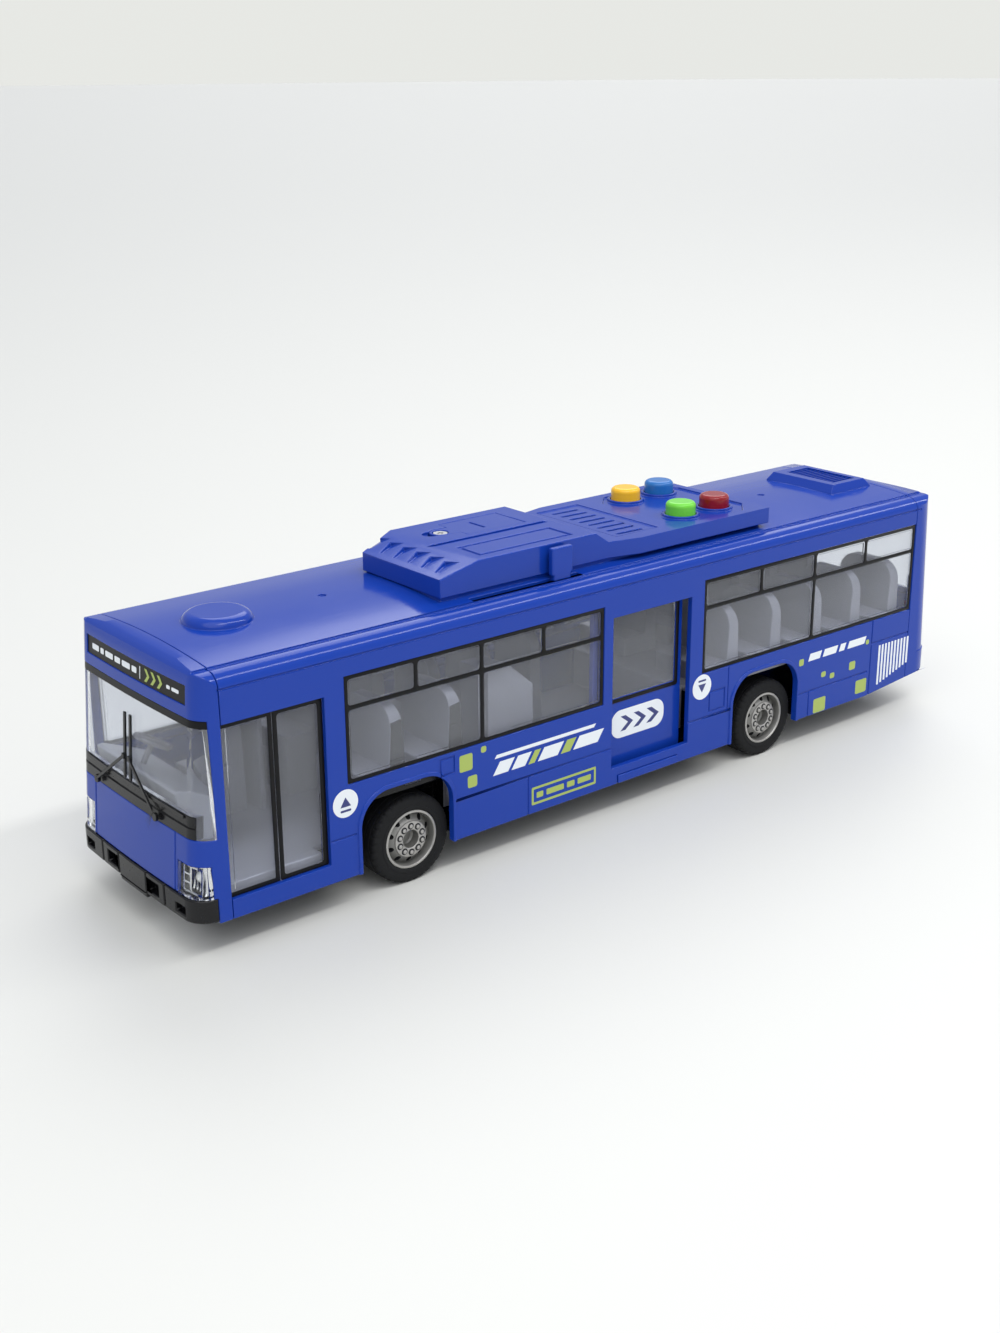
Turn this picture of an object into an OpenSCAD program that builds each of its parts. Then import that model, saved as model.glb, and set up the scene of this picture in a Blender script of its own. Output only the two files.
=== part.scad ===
// Toy city bus with a sliding middle door, a friction motor and a light and sound pod on the roof.
// +X is the front, +Y the door side, +Z up. The origin is on the floor under the middle of the bus.

/* [Body] */
// Overall length, bumper to tail
body_l = 285; // [275:1:300]
// Width over the side walls
body_w = 64; // [62:0.5:70]
// Height of the roof crown above the floor
roof_z = 74.2; // [73.4:0.1:78]
// Height of the bottom edge of the side walls
sill_z = 9.2; // [8.4:0.1:9.3]
// Thickness of the walls, the roof and the end caps
wall = 1.8; // [1.6:0.1:2]
// Radius of the roof crown across the bus
crown_r = 280; // [240:5:400]
// Radius of the roof shoulder
shoulder_r = 4; // [3:0.1:4.5]
// Drop from the roof crown to the middle of the shoulder radius
shoulder_drop = 5.8; // [5.6:0.1:6.7]
// Distance from the side wall to the edge of the raised roof panel
roof_edge = 5.1; // [4.6:0.1:5.2]
// Length of the front end cap
nose_l = 10.6; // [9:0.1:12]
// Length of the rear end cap
tail_l = 15.6; // [13:0.1:18]
// Length of the rising part of the rear skirt
skirt_l = 20.5; // [16:0.5:26]
// Angle at which the rear skirt rises
skirt_angle = 5; // [3:0.5:6]

/* [Openings] */
// Height of the wall under the windows, as a share of the whole wall
belt_h = 25.7; // [25:0.1:28]
// Height of the windows, as a share of the whole wall
window_h = 29; // [26:0.1:30]
// Height from the windows to the roof crown, as a share of the whole wall
cornice_h = 10.3; // [9.8:0.1:12]
// Height of the upper panes
upper_h = 8.7; // [6:0.1:12]
// How much lower than the windows the doorways end
door_drop = 4; // [3:0.1:7]
// Bottom edge of both doorways
door_z0 = 14.4; // [13.8:0.1:16]
// Width of the front doorway
front_door_w = 28.7; // [26:0.1:31]
// Pillar between the front doorway and the front window
pillar_a = 5.9; // [5:0.1:7]
// Length of the front side window
front_window_w = 86.9; // [84:0.1:90]
// Pillar between the front window and the middle doorway
pillar_b = 3.4; // [3:0.1:5]
// Width of the middle doorway
mid_door_w = 30.9; // [29:0.1:32]
// Pillar between the middle doorway and the rear window
pillar_c = 5.2; // [5:0.1:7]
// Length of the rear side window
rear_window_w = 97.8; // [94:0.1:102]
// Width of the window bars
bar_w = 1.7; // [1.2:0.1:2.2]
// Width of a wheel arch
arch_w = 29.4; // [29:0.1:32]
// Height of a wheel arch
arch_z = 30.5; // [30:0.1:32]
// Corner radius of a wheel arch
arch_r = 9; // [7:0.5:12]
// How far each arch lies in front of its axle
arch_shift = 3; // [2:0.1:3.5]

/* [Wheels] */
// Tyre radius, which is also the axle height
wheel_r = 12.4; // [12.2:0.1:12.6]
// Tyre width
tyre_w = 9; // [8:0.1:9.4]
// Radius of the tyre's seat on the hub
rim_r = 8.3; // [8:0.1:9]
// Radius of the steel axles
axle_r = 1.5; // [1.2:0.1:1.8]
// Distance from the front of the bus to the front axle
front_overhang = 66.4; // [65:0.1:68]
// Distance between the axles
wheelbase = 136.5; // [134:0.5:139]

/* [Sliding door] */
// Thickness of the sliding leaf
leaf_t = 1.8; // [1.5:0.1:2]
// How much the sliding leaf is longer than its doorway
leaf_over = 4.5; // [4:0.1:6]
// Gap left open at the back edge in the stored pose
leaf_ajar = 0.5; // [0:0.1:1]
// Travel from the stored pose back to shut
slide_shut = 3.2; // [2:0.1:3.4]
// Travel from the stored pose forward to open
slide_open = 27.5; // [20:0.5:28]
// Length of the lever tab
lever_l = 7.5; // [6:0.1:9]
// Thickness of the lever tab
lever_t = 2; // [1.6:0.1:2]
// Height of the lever tab above the roof crown
lever_h = 7.8; // [5:0.1:10]

/* [Roof pod] */
// Front end of the pod
pod_x1 = 61; // [59:0.5:63]
// Rear end of the pod
pod_x0 = -62; // [-63:0.5:-61]
// Height of the raised front part above the roof crown
pod_h = 8.4; // [7.4:0.1:9.6]
// Height of the button deck above the roof crown
deck_h = 5; // [4.8:0.1:5.6]
// Width of the front part
pod_w = 40.2; // [38:0.1:42]
// How much the button deck is wider on each side
deck_wider = 2.4; // [1:0.1:3]
// Wall of the pod
pod_wall = 1.6; // [1.4:0.1:1.8]
// Radius of a button
button_r = 4.5; // [4:0.1:4.7]
// Travel of a button
button_travel = 1.6; // [1:0.1:1.8]
// Height of a button above its collar
button_h = 3.6; // [3:0.1:4.2]

/* [Friction motor] */
// Gear module
gear_m = 0.8; // [0.78:0.01:0.82]
// Flywheel radius
flywheel_r = 8.4; // [7:0.1:8.6]
// Flywheel thickness
flywheel_t = 6; // [4:0.1:7]

/* [Clearances] */
// Gap between pieces that are pressed or glued in place
fit = 0.1; // [0.05:0.01:0.15]
// Radial clearance of the axles and shafts
run_fit = 0.06; // [0.03:0.01:0.1]
// Gap round the sliding leaf and the buttons
slide_fit = 0.2; // [0.12:0.02:0.3]
// Seam between the shell and the end caps
seam_gap = 0.2; // [0.1:0.05:0.3]

/* [Hidden] */
$fn = 64;

body_blue = "royalblue";
trim_black = "#1c1c1e";
clear_tint = [0.75, 0.8, 0.85, 0.5];
seat_grey = "#c9c9cc";
steel = "silver";

// Along the bus; doors, windows and axles share the length between the seams
bays = front_door_w + pillar_a + front_window_w + pillar_b + mid_door_w + pillar_c + rear_window_w;
share = (body_l - nose_l - tail_l) / bays;
front_x = body_l / 2;
bumper_proud = 0.6;
nose_x = front_x - bumper_proud;
tail_x = front_x - bumper_proud;
seam_f = front_x - nose_l;
seam_r = tail_l - front_x;
post_a = pillar_a * share;
post_b = pillar_b * share;
post_c = pillar_c * share;
door1_x0 = seam_f - front_door_w * share;
win1_x1 = door1_x0 - post_a;
win1_x0 = win1_x1 - front_window_w * share;
door2_x1 = win1_x0 - post_b;
door2_x0 = door2_x1 - mid_door_w * share;
win2_x1 = door2_x0 - post_c;
front_axle_x = front_x - front_overhang * share;
rear_axle_x = front_axle_x - wheelbase * share;
skirt_x = seam_r + skirt_l * share;

// Across the bus
half_w = body_w / 2;
in_w = half_w - wall;
flange_t = 1.1;
flange_in = in_w - fit - flange_t;
leaf_out = flange_in - 2 * slide_fit;
leaf_in = leaf_out - leaf_t;
wheel_out = in_w - 0.8;
tray_half = leaf_in - 2.6;
cabin_half = flange_in - 0.6;
roof_half = half_w - roof_edge;

// Up the bus; windows and doorways share the height of the wall
rise = (roof_z - sill_z) / (belt_h + window_h + cornice_h);
shoulder_z = roof_z - shoulder_drop;
pane_low = sill_z + belt_h * rise;
pane_high = pane_low + window_h * rise;
split_z = pane_high - upper_h * rise;
doorway_z = pane_high - door_drop * rise;
chassis_t = 2;
chassis_z = sill_z + 0.2;
chassis_top = chassis_z + chassis_t;
floor_t = 1.4;
floor_z = wheel_r + 4.6;
well_z = 2 * wheel_r + 3.2;
engine_z = 2 * wheel_r + 4.2;
seat_h = 22.5;
seat_l = 14;
cushion_h = 6;

// Details of the shell
lip_w = 1.1;
lip_h = 0.4;
groove_w = 0.5;
groove_d = 0.35;
dimple_x = [seam_f - 49.9, seam_r + 39.9];
dome_x = seam_f - 18.5;
vent_l = 19.4;
reach = 5;

// End caps: seam, tip, corner radius, bow radius, lean, height of the lean's pivot, top edge radius
nose = [seam_f, nose_x, 6.5, 600, 4.6, 15.8, 5];
tail = [-seam_r, tail_x, 9, 240, 3, 20, 11];
bumper_z0 = sill_z + 0.5;
bumper_z1 = sill_z + 6.6;
bumper_x0 = front_x - 6.8;
bumper_t = 4;
cowl_z0 = sill_z + 22;
cowl_z1 = cowl_z0 + 6;
screen_z1 = roof_z - 13;
screen_x0 = seam_f + 3;
cowl_half = half_w - 3;
lamp_x0 = seam_f + 4.8;
lamp_y0 = half_w - 10;
lamp_z1 = bumper_z1 + 8.6;
sign_half = half_w - 6.6;
sign_z0 = screen_z1 + 3;
sign_z1 = sign_z0 + 4.9;
sign_d = 0.8;
led_r = 1.5;
led_l = 2.2;
led_y = half_w - 6;
led_z = (bumper_z1 + lamp_z1) / 2;

// Sliding door
leaf_x0 = door2_x0 + leaf_ajar;
leaf_x1 = leaf_x0 + door2_x1 - door2_x0 + leaf_over;
leaf_z0 = chassis_top + 0.8;
leaf_z1 = shoulder_z - 1.6;
lever_x0 = leaf_x1 + 5.5;
lever_y1 = leaf_in - slide_fit;
lever_y0 = lever_y1 - lever_t;
lever_z = roof_z + lever_h;
arm_x0 = lever_x0 + 0.6;
arm_x1 = lever_x0 + lever_l - 0.6;
link_z0 = leaf_z1 - 2.4;
rail_lip = 0.55;

// Roof pod
plinth_z = roof_z + 0.2;
plinth_in = 0.8;
pod_near = lever_y0 - 1;
pod_far = pod_near - pod_w;
pod_top_z = roof_z + pod_h;
deck_z = roof_z + deck_h;
pod_nose_z = pod_top_z - 3;
over_z = pod_top_z + 2 * reach;
pod_crest_x = pod_x1 - 13;
pod_step_x = 6.5;
pod_foot_x = 1.5;
deck_x = -8.8;
pod_mid = (pod_far + pod_near) / 2;
corner_cut = [13, 5];
collar_h = 0.3;
collar_w = 1.1;
deck_cut = 0.5;
button_x = [-36.2, -50.4];
button_y = [pod_far + 6.8, pod_near - 9.6];
button_rim = 0.7;
button_z = deck_z + collar_h + button_h;
button_flange_z = deck_z - pod_wall - 0.05;
speaker_x = -13;
speaker_r = 10.5;

// Battery box
cell_r = 5.8;
cell_t = 5.4;
cell_n = 3;
box_x0 = 14.2;
box_l = cell_n * cell_t + 1.5;
box_wall = 1.4;
box_half = cell_r + 0.2;
box_y = pod_far + pod_wall + box_half + box_wall + 1.9;
door_t = 1.4;
lid_x0 = box_x0 - 1;
lid_l = 29.8;
lid_half = box_half + 0.9;
lid_z = pod_top_z - door_t - 0.1;
cell_z = lid_z - cell_r - 0.3;
box_z = cell_z - cell_r - 0.05;
lid_screw_x = lid_x0 + lid_l - 4.5;
tongue_r = 3.2;

// Electronics tray
tray_x0 = pod_x0 + 7.7;
tray_x1 = box_x0 - 3.8;
tray_y0 = pod_far + 2.8;
tray_y1 = pod_near - 3.8;
tray_wall = 1.2;
tray_z = roof_z - 7.4;
tray_top = tray_z + tray_wall;
board_z = tray_top + 2.4;
board_t = 1.2;
board_x0 = tray_x0 + tray_wall + 0.4;
board_x1 = speaker_x - speaker_r - 1.5;
pad_t = 0.8;
pod_screw_x = [pod_x1 - 6.5, pod_x0 + 4.4];
pod_screw_y = [pod_far + 9.6, pod_near - 6.1];
screw_r = 0.95;
screw_head_r = 2;

// Friction motor
axle_teeth = 15;
pinion_teeth = 10;
idler_teeth = 18;
pressure = 28;
tip = 0.9;
root = 1.15;
backlash = 0.16;
shaft_r = 1;
mesh1 = gear_m * (axle_teeth + pinion_teeth) / 2;
mesh2 = gear_m * (idler_teeth + pinion_teeth) / 2;
lift1 = 2;
lift2 = 2.5;
idler_x = rear_axle_x + sqrt(mesh1 * mesh1 - lift1 * lift1);
idler_z = wheel_r + lift1;
fly_x = idler_x + sqrt(mesh2 * mesh2 - lift2 * lift2);
fly_z = idler_z + lift2;
gear_w = 4;
wheel_w = 2.5;
gear_y = 0.5 - (gear_w + wheel_w + flywheel_t + 2.4) / 2;
wheel_y = gear_y + gear_w + 0.5;
fly_y = wheel_y + wheel_w + 0.8;
case_y0 = gear_y - 0.6;
case_y1 = fly_y + flywheel_t + 0.7;
case_wall = 1.2;
case_gap = 0.5;
case_x0 = rear_axle_x - gear_m * (axle_teeth / 2 + tip) - case_gap;
case_x1 = fly_x + flywheel_r + case_gap;
axle_gear_z0 = wheel_r - gear_m * (axle_teeth / 2 + tip);
case_z0 = min(idler_z - gear_m * (idler_teeth / 2 + tip), axle_gear_z0) - case_gap;
case_z1 = fly_z + flywheel_r + case_gap;
ear_l = 4.4;
ear_t = 1.2;
riser_x = case_x1 + case_wall + 0.8;

// Screws that hold the chassis to the shell
boss_r = 2.5;
boss_y = in_w - 3.3;
boss_h = 8.6;
boss_x = [front_axle_x + arch_shift + arch_w / 2 + 4.2, rear_axle_x - 25];
bore_r = 1.15;
bush_out = wheel_out - 8.7;
bush_in = wheel_out - 13.9;
well_in = wheel_out - tyre_w - 0.6;
well_run = wheel_r + 2;

// Rear window and tail lamps
rear_window_half = half_w - 8;
rear_window_z0 = pane_low + 3;
rear_window_z1 = pane_high;
tail_lamp_y0 = half_w - 12;
tail_lamp_y1 = half_w - 6.4;
tail_lamp_z0 = sill_z + 12;
tail_lamp_z1 = rear_window_z0 - 4.7;

// Pane of the sliding door, and the step under it
pane_x0 = leaf_x0 + 2.6;
pane_x1 = leaf_x1 - 5.4;
pane_z0 = pane_low - 1;
pane_z1 = doorway_z - 1.4;
step_x0 = door2_x0 + 4.4;
step_x1 = door2_x1 - 2.5;
step_z1 = sill_z + 2.6;

// Dashboard and steering wheel
dash_x0 = seam_f - 10;
dash_z1 = cowl_z1 + 0.2;
wheel_c = [dash_x0 + 5.6, -half_w / 2.8, dash_z1 + 4];
column_tilt = 30;

// Motor ears and the angles at which the gears meet
ear_x = [case_x0 - case_wall - ear_l / 2 - 0.2, case_x1 + case_wall + ear_l / 2 + 0.2];
ear_y = (case_y0 + case_y1) / 2;
mesh1_angle = atan2(-lift1, idler_x - rear_axle_x);
mesh2_angle = atan2(-lift2, fly_x - idler_x);

// Button pad and speaker
pad_top = board_z + board_t + pad_t + 0.5;
speaker_z0 = tray_top + 3.8;
speaker_z1 = deck_z - pod_wall - 0.3;

module slab(x0, x1, y0, y1, z0, z1) {
    translate([x0, y0, z0]) cube([x1 - x0, y1 - y0, z1 - z0]);
}

// Flat outlines drawn in Y and Z, X and Z, or X and Y, and pulled along the third axis
module along_x(x0, x1) {
    translate([x0, 0, 0]) rotate([90, 0, 90]) linear_extrude(x1 - x0) children();
}

module along_y(y0, y1) {
    translate([0, y1, 0]) rotate([90, 0, 0]) linear_extrude(y1 - y0) children();
}

module along_z(z0, z1) {
    translate([0, 0, z0]) linear_extrude(z1 - z0) children();
}

module rod_y(x, z, r, y0, y1) {
    translate([x, y0, z]) rotate([-90, 0, 0]) cylinder(r = r, h = y1 - y0);
}

module rod_z(x, y, r, z0, z1) {
    translate([x, y, z0]) cylinder(r = r, h = z1 - z0);
}

module both_sides() {
    children();
    mirror([0, 1, 0]) children();
}

// Rectangle with two or four round corners
module round_rect(x0, x1, z0, z1, r, low = true) {
    translate([x0 + r, z0]) square([x1 - x0 - 2 * r, z1 - z0]);
    translate([x0, low ? z0 + r : z0]) square([x1 - x0, z1 - r - (low ? z0 + r : z0)]);
    for (x = [x0 + r, x1 - r]) {
        translate([x, z1 - r]) circle(r);
        if (low) translate([x, z0 + r]) circle(r);
    }
}

// Cross-section of the bus, shrunk by inset, open below base
module body_section(inset, base) {
    shoulder_y = half_w - shoulder_r;
    intersection() {
        translate([0, roof_z - crown_r]) circle(crown_r - inset, $fn = 360);
        union() {
            translate([inset - half_w, base]) square([2 * (half_w - inset), shoulder_z - base]);
            translate([-shoulder_y, base]) square([2 * shoulder_y, shoulder_z + shoulder_r - inset - base]);
            translate([-roof_half, base]) square([2 * roof_half, roof_z - base]);
            for (s = [-1, 1]) translate([s * shoulder_y, shoulder_z]) circle(shoulder_r - inset);
        }
    }
}

// Plan of an end cap: bowed front with round corners
module end_plan(cap, inset) {
    corner_y = half_w - cap[2];
    corner_x = cap[1] - cap[2] - corner_y * corner_y / (2 * cap[3]);
    back_x = cap[0] - 6 * reach;
    intersection() {
        translate([cap[1] - cap[3], 0]) circle(cap[3] - inset, $fn = 360);
        union() {
            translate([back_x, inset - half_w]) square([corner_x - back_x, 2 * (half_w - inset)]);
            translate([back_x, -corner_y]) square([cap[1] - inset - back_x, 2 * corner_y]);
            for (s = [-1, 1]) translate([corner_x, s * corner_y]) circle(cap[2] - inset);
        }
    }
}

// Side view of an end cap, with the round edge between the roof and the face
module end_profile(cap, inset) {
    top_z = roof_z - cap[6];
    top_x = cap[1] - tan(cap[4]) * (top_z - cap[5]) - cap[6];
    translate([cap[0] - reach, -reach]) square([cap[1] - cap[0] + 2 * reach, top_z + reach]);
    translate([cap[0] - reach, -reach]) square([top_x - cap[0] + reach, roof_z + reach]);
    translate([top_x, top_z]) circle(cap[6] - inset);
}

// Leans children back about the pivot of an end cap
module lean(cap) {
    translate([cap[1], 0, cap[5]]) rotate([0, -cap[4], 0]) translate([-cap[1], 0, -cap[5]]) children();
}

// Outside of an end cap, shrunk by inset; a shrunk one is open at the back and below
module end_solid(cap, inset) {
    intersection() {
        along_x(inset > 0.5 ? cap[0] - reach : cap[0] + seam_gap, cap[1] + reach)
            body_section(inset, inset > 0.5 ? -reach : sill_z);
        lean(cap) along_z(-2 * reach, roof_z + 2 * reach) end_plan(cap, inset);
        along_y(-half_w - reach, half_w + reach) end_profile(cap, inset);
    }
}

// Skin of an end cap between two depths
module end_skin(cap, d0, d1) {
    difference() {
        end_solid(cap, d0);
        end_solid(cap, d1);
    }
}

// Rising bottom edge behind the rear wheels
module skirt_cut(lower) {
    translate([skirt_x, 0, sill_z - lower]) rotate([0, skirt_angle, 0])
        slab(-body_l / 2, 0, -body_w, body_w, -4 * reach, 0);
}

module arch_outline(axle_x, grow) {
    mid = axle_x + arch_shift;
    round_rect(mid - arch_w / 2 - grow, mid + arch_w / 2 + grow, -reach, arch_z + grow, arch_r + grow, false);
}

// Thin grooves on the door side and the far side: x from, x to, z from, z to
module side_grooves() {
    line_z = door_z0 + 6.4;
    tail_line = line_z - 3;
    lines = [
        [front_axle_x + arch_shift + arch_w / 2 + lip_w + 0.6, door1_x0 - 0.6, line_z, line_z],
        [door2_x1, front_axle_x + arch_shift - arch_w / 2 - lip_w, line_z, line_z],
        [door2_x1 + 31.2 * share, door2_x1 + 31.2 * share, 0, line_z],
        [rear_axle_x + arch_shift + arch_w / 2 + lip_w, door2_x0, line_z, line_z],
        [door2_x0 - 16.6, door2_x0 - 16.6, line_z, pane_low],
        [skirt_x, rear_axle_x - 12.4, tail_line, tail_line],
        [rear_axle_x - 17.6, rear_axle_x - 17.6, 0, tail_line],
        [skirt_x - 1.6, skirt_x - 1.6, 0, pane_low],
        [seam_r, skirt_x - 1.6, pane_low - 7.8, pane_low - 7.8]
    ];
    for (l = lines)
        slab(l[0] - groove_w / 2, l[1] + groove_w / 2, half_w - groove_d, half_w + 1,
            l[2] - groove_w / 2, l[3] + groove_w / 2);
    hatch(front_axle_x + arch_shift - 15.6, pane_low - 6, 5, 5);
    hatch(door2_x0 - 15.4, door_z0 + 7.6, 7, 6.6);
    slab(seam_r - reach, seam_f + reach, half_w - groove_d, half_w + 1, shoulder_z, shoulder_z + groove_w);
    slab(seam_r - reach, seam_f + reach, half_w - shoulder_r - groove_w, half_w - shoulder_r,
        shoulder_z + shoulder_r - groove_d, roof_z + reach);
}

module hatch(x, z, w, h) {
    difference() {
        slab(x, x + w, half_w - groove_d, half_w + 1, z, z + h);
        slab(x + groove_w, x + w - groove_w, half_w - reach, half_w + 2, z + groove_w, z + h - groove_w);
    }
}

module roof_dome(x) {
    dome_r = 9.2;
    edge = 2.8;
    translate([x, 0, roof_z - wall + 0.4]) rotate_extrude() {
        square([dome_r - edge, edge + 1]);
        square([dome_r, 1]);
        intersection() {
            translate([dome_r - edge, 1]) circle(edge);
            translate([0, 1]) square([dome_r, edge]);
        }
    }
}

module roof_vent(x0, x1) {
    vent_half = 14;
    vent_h = 2.4;
    foot = roof_z - wall + 0.5;
    top = roof_z + vent_h;
    difference() {
        intersection() {
            along_y(-vent_half, vent_half)
                polygon([[x0, foot], [x1, foot], [x1, roof_z], [x1 - 2, top], [x0 + 2, top], [x0, roof_z]]);
            along_x(x0 - 1, x1 + 1) polygon([[-vent_half, foot], [vent_half, foot], [vent_half, roof_z],
                [vent_half - 1.2, top], [1.2 - vent_half, top], [-vent_half, roof_z]]);
        }
        slab(x0 + 4, x1 - 5, 4.4 - vent_half, vent_half - 3.4, top - 1, top + 1);
    }
}

module plinth(grow) {
    g = grow - plinth_in;
    slab(pod_foot_x, pod_x1 + g - corner_cut[0] / 2, pod_far - g, pod_near + g, roof_z - wall + 0.3, plinth_z);
    slab(pod_foot_x, pod_x1 + g, pod_far + corner_cut[1] - g, pod_near + g, roof_z - wall + 0.3, plinth_z);
    slab(pod_x0 - g, pod_foot_x, pod_far - g, pod_near + g, roof_z - wall + 0.3, plinth_z);
}

module screw_boss(x) {
    difference() {
        union() {
            rod_z(x, boss_y, boss_r, chassis_top, chassis_top + boss_h);
            slab(x - 1, x + 1, boss_y, in_w + wall / 2, chassis_top, chassis_top + boss_h);
        }
        rod_z(x, boss_y, bore_r, 0, chassis_top + boss_h - 1);
    }
}

module body_shell() color(body_blue) {
    difference() {
        union() {
            along_x(seam_r, seam_f) body_section(0, sill_z);
            both_sides() for (x = [front_axle_x, rear_axle_x])
                along_y(half_w - wall, half_w + lip_h) intersection() {
                    arch_outline(x, lip_w);
                    translate([x - body_l / 4, sill_z]) square([body_l / 2, arch_z + lip_w]);
                }
            plinth(0);
            roof_dome(dome_x);
            roof_vent(seam_r + 2.4, seam_r + 2.4 + vent_l);
        }
        difference() {
            along_x(seam_r - 1, seam_f + 1) body_section(wall, -reach);
            plinth(0);
        }
        both_sides() for (x = [front_axle_x, rear_axle_x])
            along_y(half_w - 2 * reach, half_w + reach) arch_outline(x, 0);
        both_sides() side_grooves();
        skirt_cut(0);
        // Door side
        slab(door1_x0, seam_f + 1, 0, half_w + 1, door_z0, doorway_z);
        slab(win1_x0, win1_x1, 0, half_w + 1, pane_low, pane_high);
        slab(door2_x0, door2_x1, 0, half_w + 1, door_z0, doorway_z);
        slab(seam_r - 1, win2_x1, 0, half_w + 1, pane_low, pane_high);
        slab(step_x0 - fit, step_x1 + fit, 0, half_w + 1, 0, step_z1 + fit);
        // Far side
        slab(door1_x0, seam_f + 1, -half_w - 1, 0, pane_low, pane_high);
        slab(win1_x0, win1_x1, -half_w - 1, 0, pane_low, pane_high);
        slab(door2_x0, door2_x1, -half_w - 1, 0, pane_low, pane_high);
        slab(seam_r - 1, win2_x1, -half_w - 1, 0, pane_low, pane_high);
        // Roof
        slab(arm_x0 - slide_shut - 0.5, arm_x1 + slide_open + 0.5, lever_y0 - slide_fit, lever_y1 + slide_fit,
            shoulder_z, roof_z + reach);
        slab(tray_x0 - fit, tray_x1 + fit, tray_y0 - fit, tray_y1 + fit, shoulder_z, roof_z + reach);
        slab(box_x0 - box_wall - fit, box_x0 + box_l + box_wall + fit, box_y - box_half - box_wall - fit,
            box_y + box_half + box_wall + fit, shoulder_z, roof_z + reach);
        for (x = pod_screw_x, y = pod_screw_y) rod_z(x, y, screw_r + 0.3, shoulder_z, roof_z + reach);
        for (x = dimple_x) rod_z(x, 0, 1.1, roof_z - 0.5, roof_z + reach);
    }
    for (x = boss_x) both_sides() screw_boss(x);
}

module front_fascia() color(body_blue) {
    difference() {
        end_skin(nose, 0, wall);
        slab(bumper_x0, front_x + reach, -half_w - 1, half_w + 1, 0, bumper_z1 + fit);
        slab(screen_x0, front_x + reach, -half_w - 1, half_w + 1, cowl_z0, screen_z1);
        both_sides() slab(lamp_x0, front_x + reach, lamp_y0, half_w + 1, 0, lamp_z1);
        intersection() {
            end_skin(nose, -1, sign_d);
            slab(screen_x0, front_x, -sign_half, sign_half, sign_z0, sign_z1);
        }
        intersection() {
            end_skin(nose, -1, groove_d);
            both_sides() slab(lamp_x0, front_x + reach, lamp_y0 - 1.2, lamp_y0 - 1.2 + groove_w, 0, cowl_z0);
        }
        both_sides() slab(seam_r, seam_f + reach, half_w - groove_d, half_w + 1, shoulder_z,
            shoulder_z + groove_w);
    }
    // Walls behind the headlamps, each with a hole for its lamp
    both_sides() difference() {
        intersection() {
            end_solid(nose, wall - 0.1);
            slab(lamp_x0 - 1.4, lamp_x0, lamp_y0 - 2, half_w, bumper_z1 + fit, lamp_z1 + 1);
        }
        translate([seam_f, led_y, led_z]) rotate([0, 90, 0]) cylinder(r = led_r + fit / 2, h = reach);
    }
}

module headlamp(side) {
    scale_y = side > 0 ? [0, 0, 0] : [0, 1, 0];
    mirror(scale_y) intersection() {
        end_skin(nose, fit / 2, wall);
        slab(lamp_x0 + fit, front_x + reach, lamp_y0 + fit, half_w, bumper_z1 + fit, lamp_z1 - fit);
    }
}

module headlamp_left() color(clear_tint) headlamp(1);

module headlamp_right() color(clear_tint) headlamp(-1);

module headlamp_leds() color("white") both_sides()
    translate([lamp_x0 - 2.4, led_y, led_z]) rotate([0, 90, 0]) {
        cylinder(r = led_r, h = led_l);
        cylinder(r = led_r + 0.4, h = 0.8);
        translate([0, 0, led_l]) sphere(led_r);
    }

// Windscreen, which wraps round both corners and reaches down beside the cowl
module windshield() color(clear_tint) difference() {
    intersection() {
        end_skin(nose, fit, wall);
        slab(screen_x0 + fit, front_x + reach, -half_w, half_w, cowl_z0 + fit, screen_z1 - fit);
    }
    slab(screen_x0, front_x + reach, -cowl_half, cowl_half, 0, cowl_z1);
}

module wiper_cowl() color(trim_black) {
    difference() {
        intersection() {
            end_skin(nose, 0, wall);
            slab(screen_x0 + fit, front_x + reach, fit - cowl_half, cowl_half - fit, cowl_z0 + fit,
                cowl_z1 - fit);
        }
        intersection() {
            end_skin(nose, -1, groove_d);
            slab(screen_x0, front_x + reach, -cowl_half, cowl_half, cowl_z0 + 2.8, cowl_z0 + 3.3);
        }
    }
    intersection() {
        end_skin(nose, -0.4, wall / 2);
        slab(screen_x0 + reach, front_x + reach, -sign_half, sign_half, cowl_z1 - 1.2, cowl_z1 - fit);
    }
}

// One wiper: its pivot on the cowl, its arm, and its upright blade on the glass
module wiper(pivot_y, blade_y) {
    pivot_z = cowl_z0 + 1.4;
    blade_z0 = cowl_z1 + 0.4;
    blade_l = 0.72 * (screen_z1 - cowl_z1);
    joint_z = blade_z0 + blade_l / 3;
    face = nose_x + fit;
    arm_w = 0.8;
    dy = blade_y - pivot_y;
    dz = joint_z - pivot_z;
    lean(nose) {
        slab(face, face + 0.5, blade_y - 0.5, blade_y + 0.5, blade_z0, blade_z0 + blade_l);
        translate([face + 0.5, pivot_y, pivot_z]) rotate([atan2(dz, dy), 0, 0])
            slab(0, 0.5, 0, sqrt(dy * dy + dz * dz), -arm_w / 2, arm_w / 2);
        slab(face, face + 1, blade_y - 0.6, blade_y + 0.6, joint_z - 0.7, joint_z + 0.7);
        translate([nose_x + 0.5 - pivot_y * pivot_y / (2 * nose[3]), pivot_y, pivot_z]) rotate([0, 90, 0])
            cylinder(r = 1.1, h = 0.6 + pivot_y * pivot_y / (2 * nose[3]));
    }
}

module wipers() color(trim_black) {
    wiper(-0.56 * half_w, -0.1 * half_w);
    wiper(0.41 * half_w, -0.01 * half_w);
}

module destination_sign() color(trim_black) intersection() {
    end_skin(nose, 0.3, sign_d - 0.05);
    slab(screen_x0, front_x, fit - sign_half, sign_half - fit, sign_z0 + fit, sign_z1 - fit);
}

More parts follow.
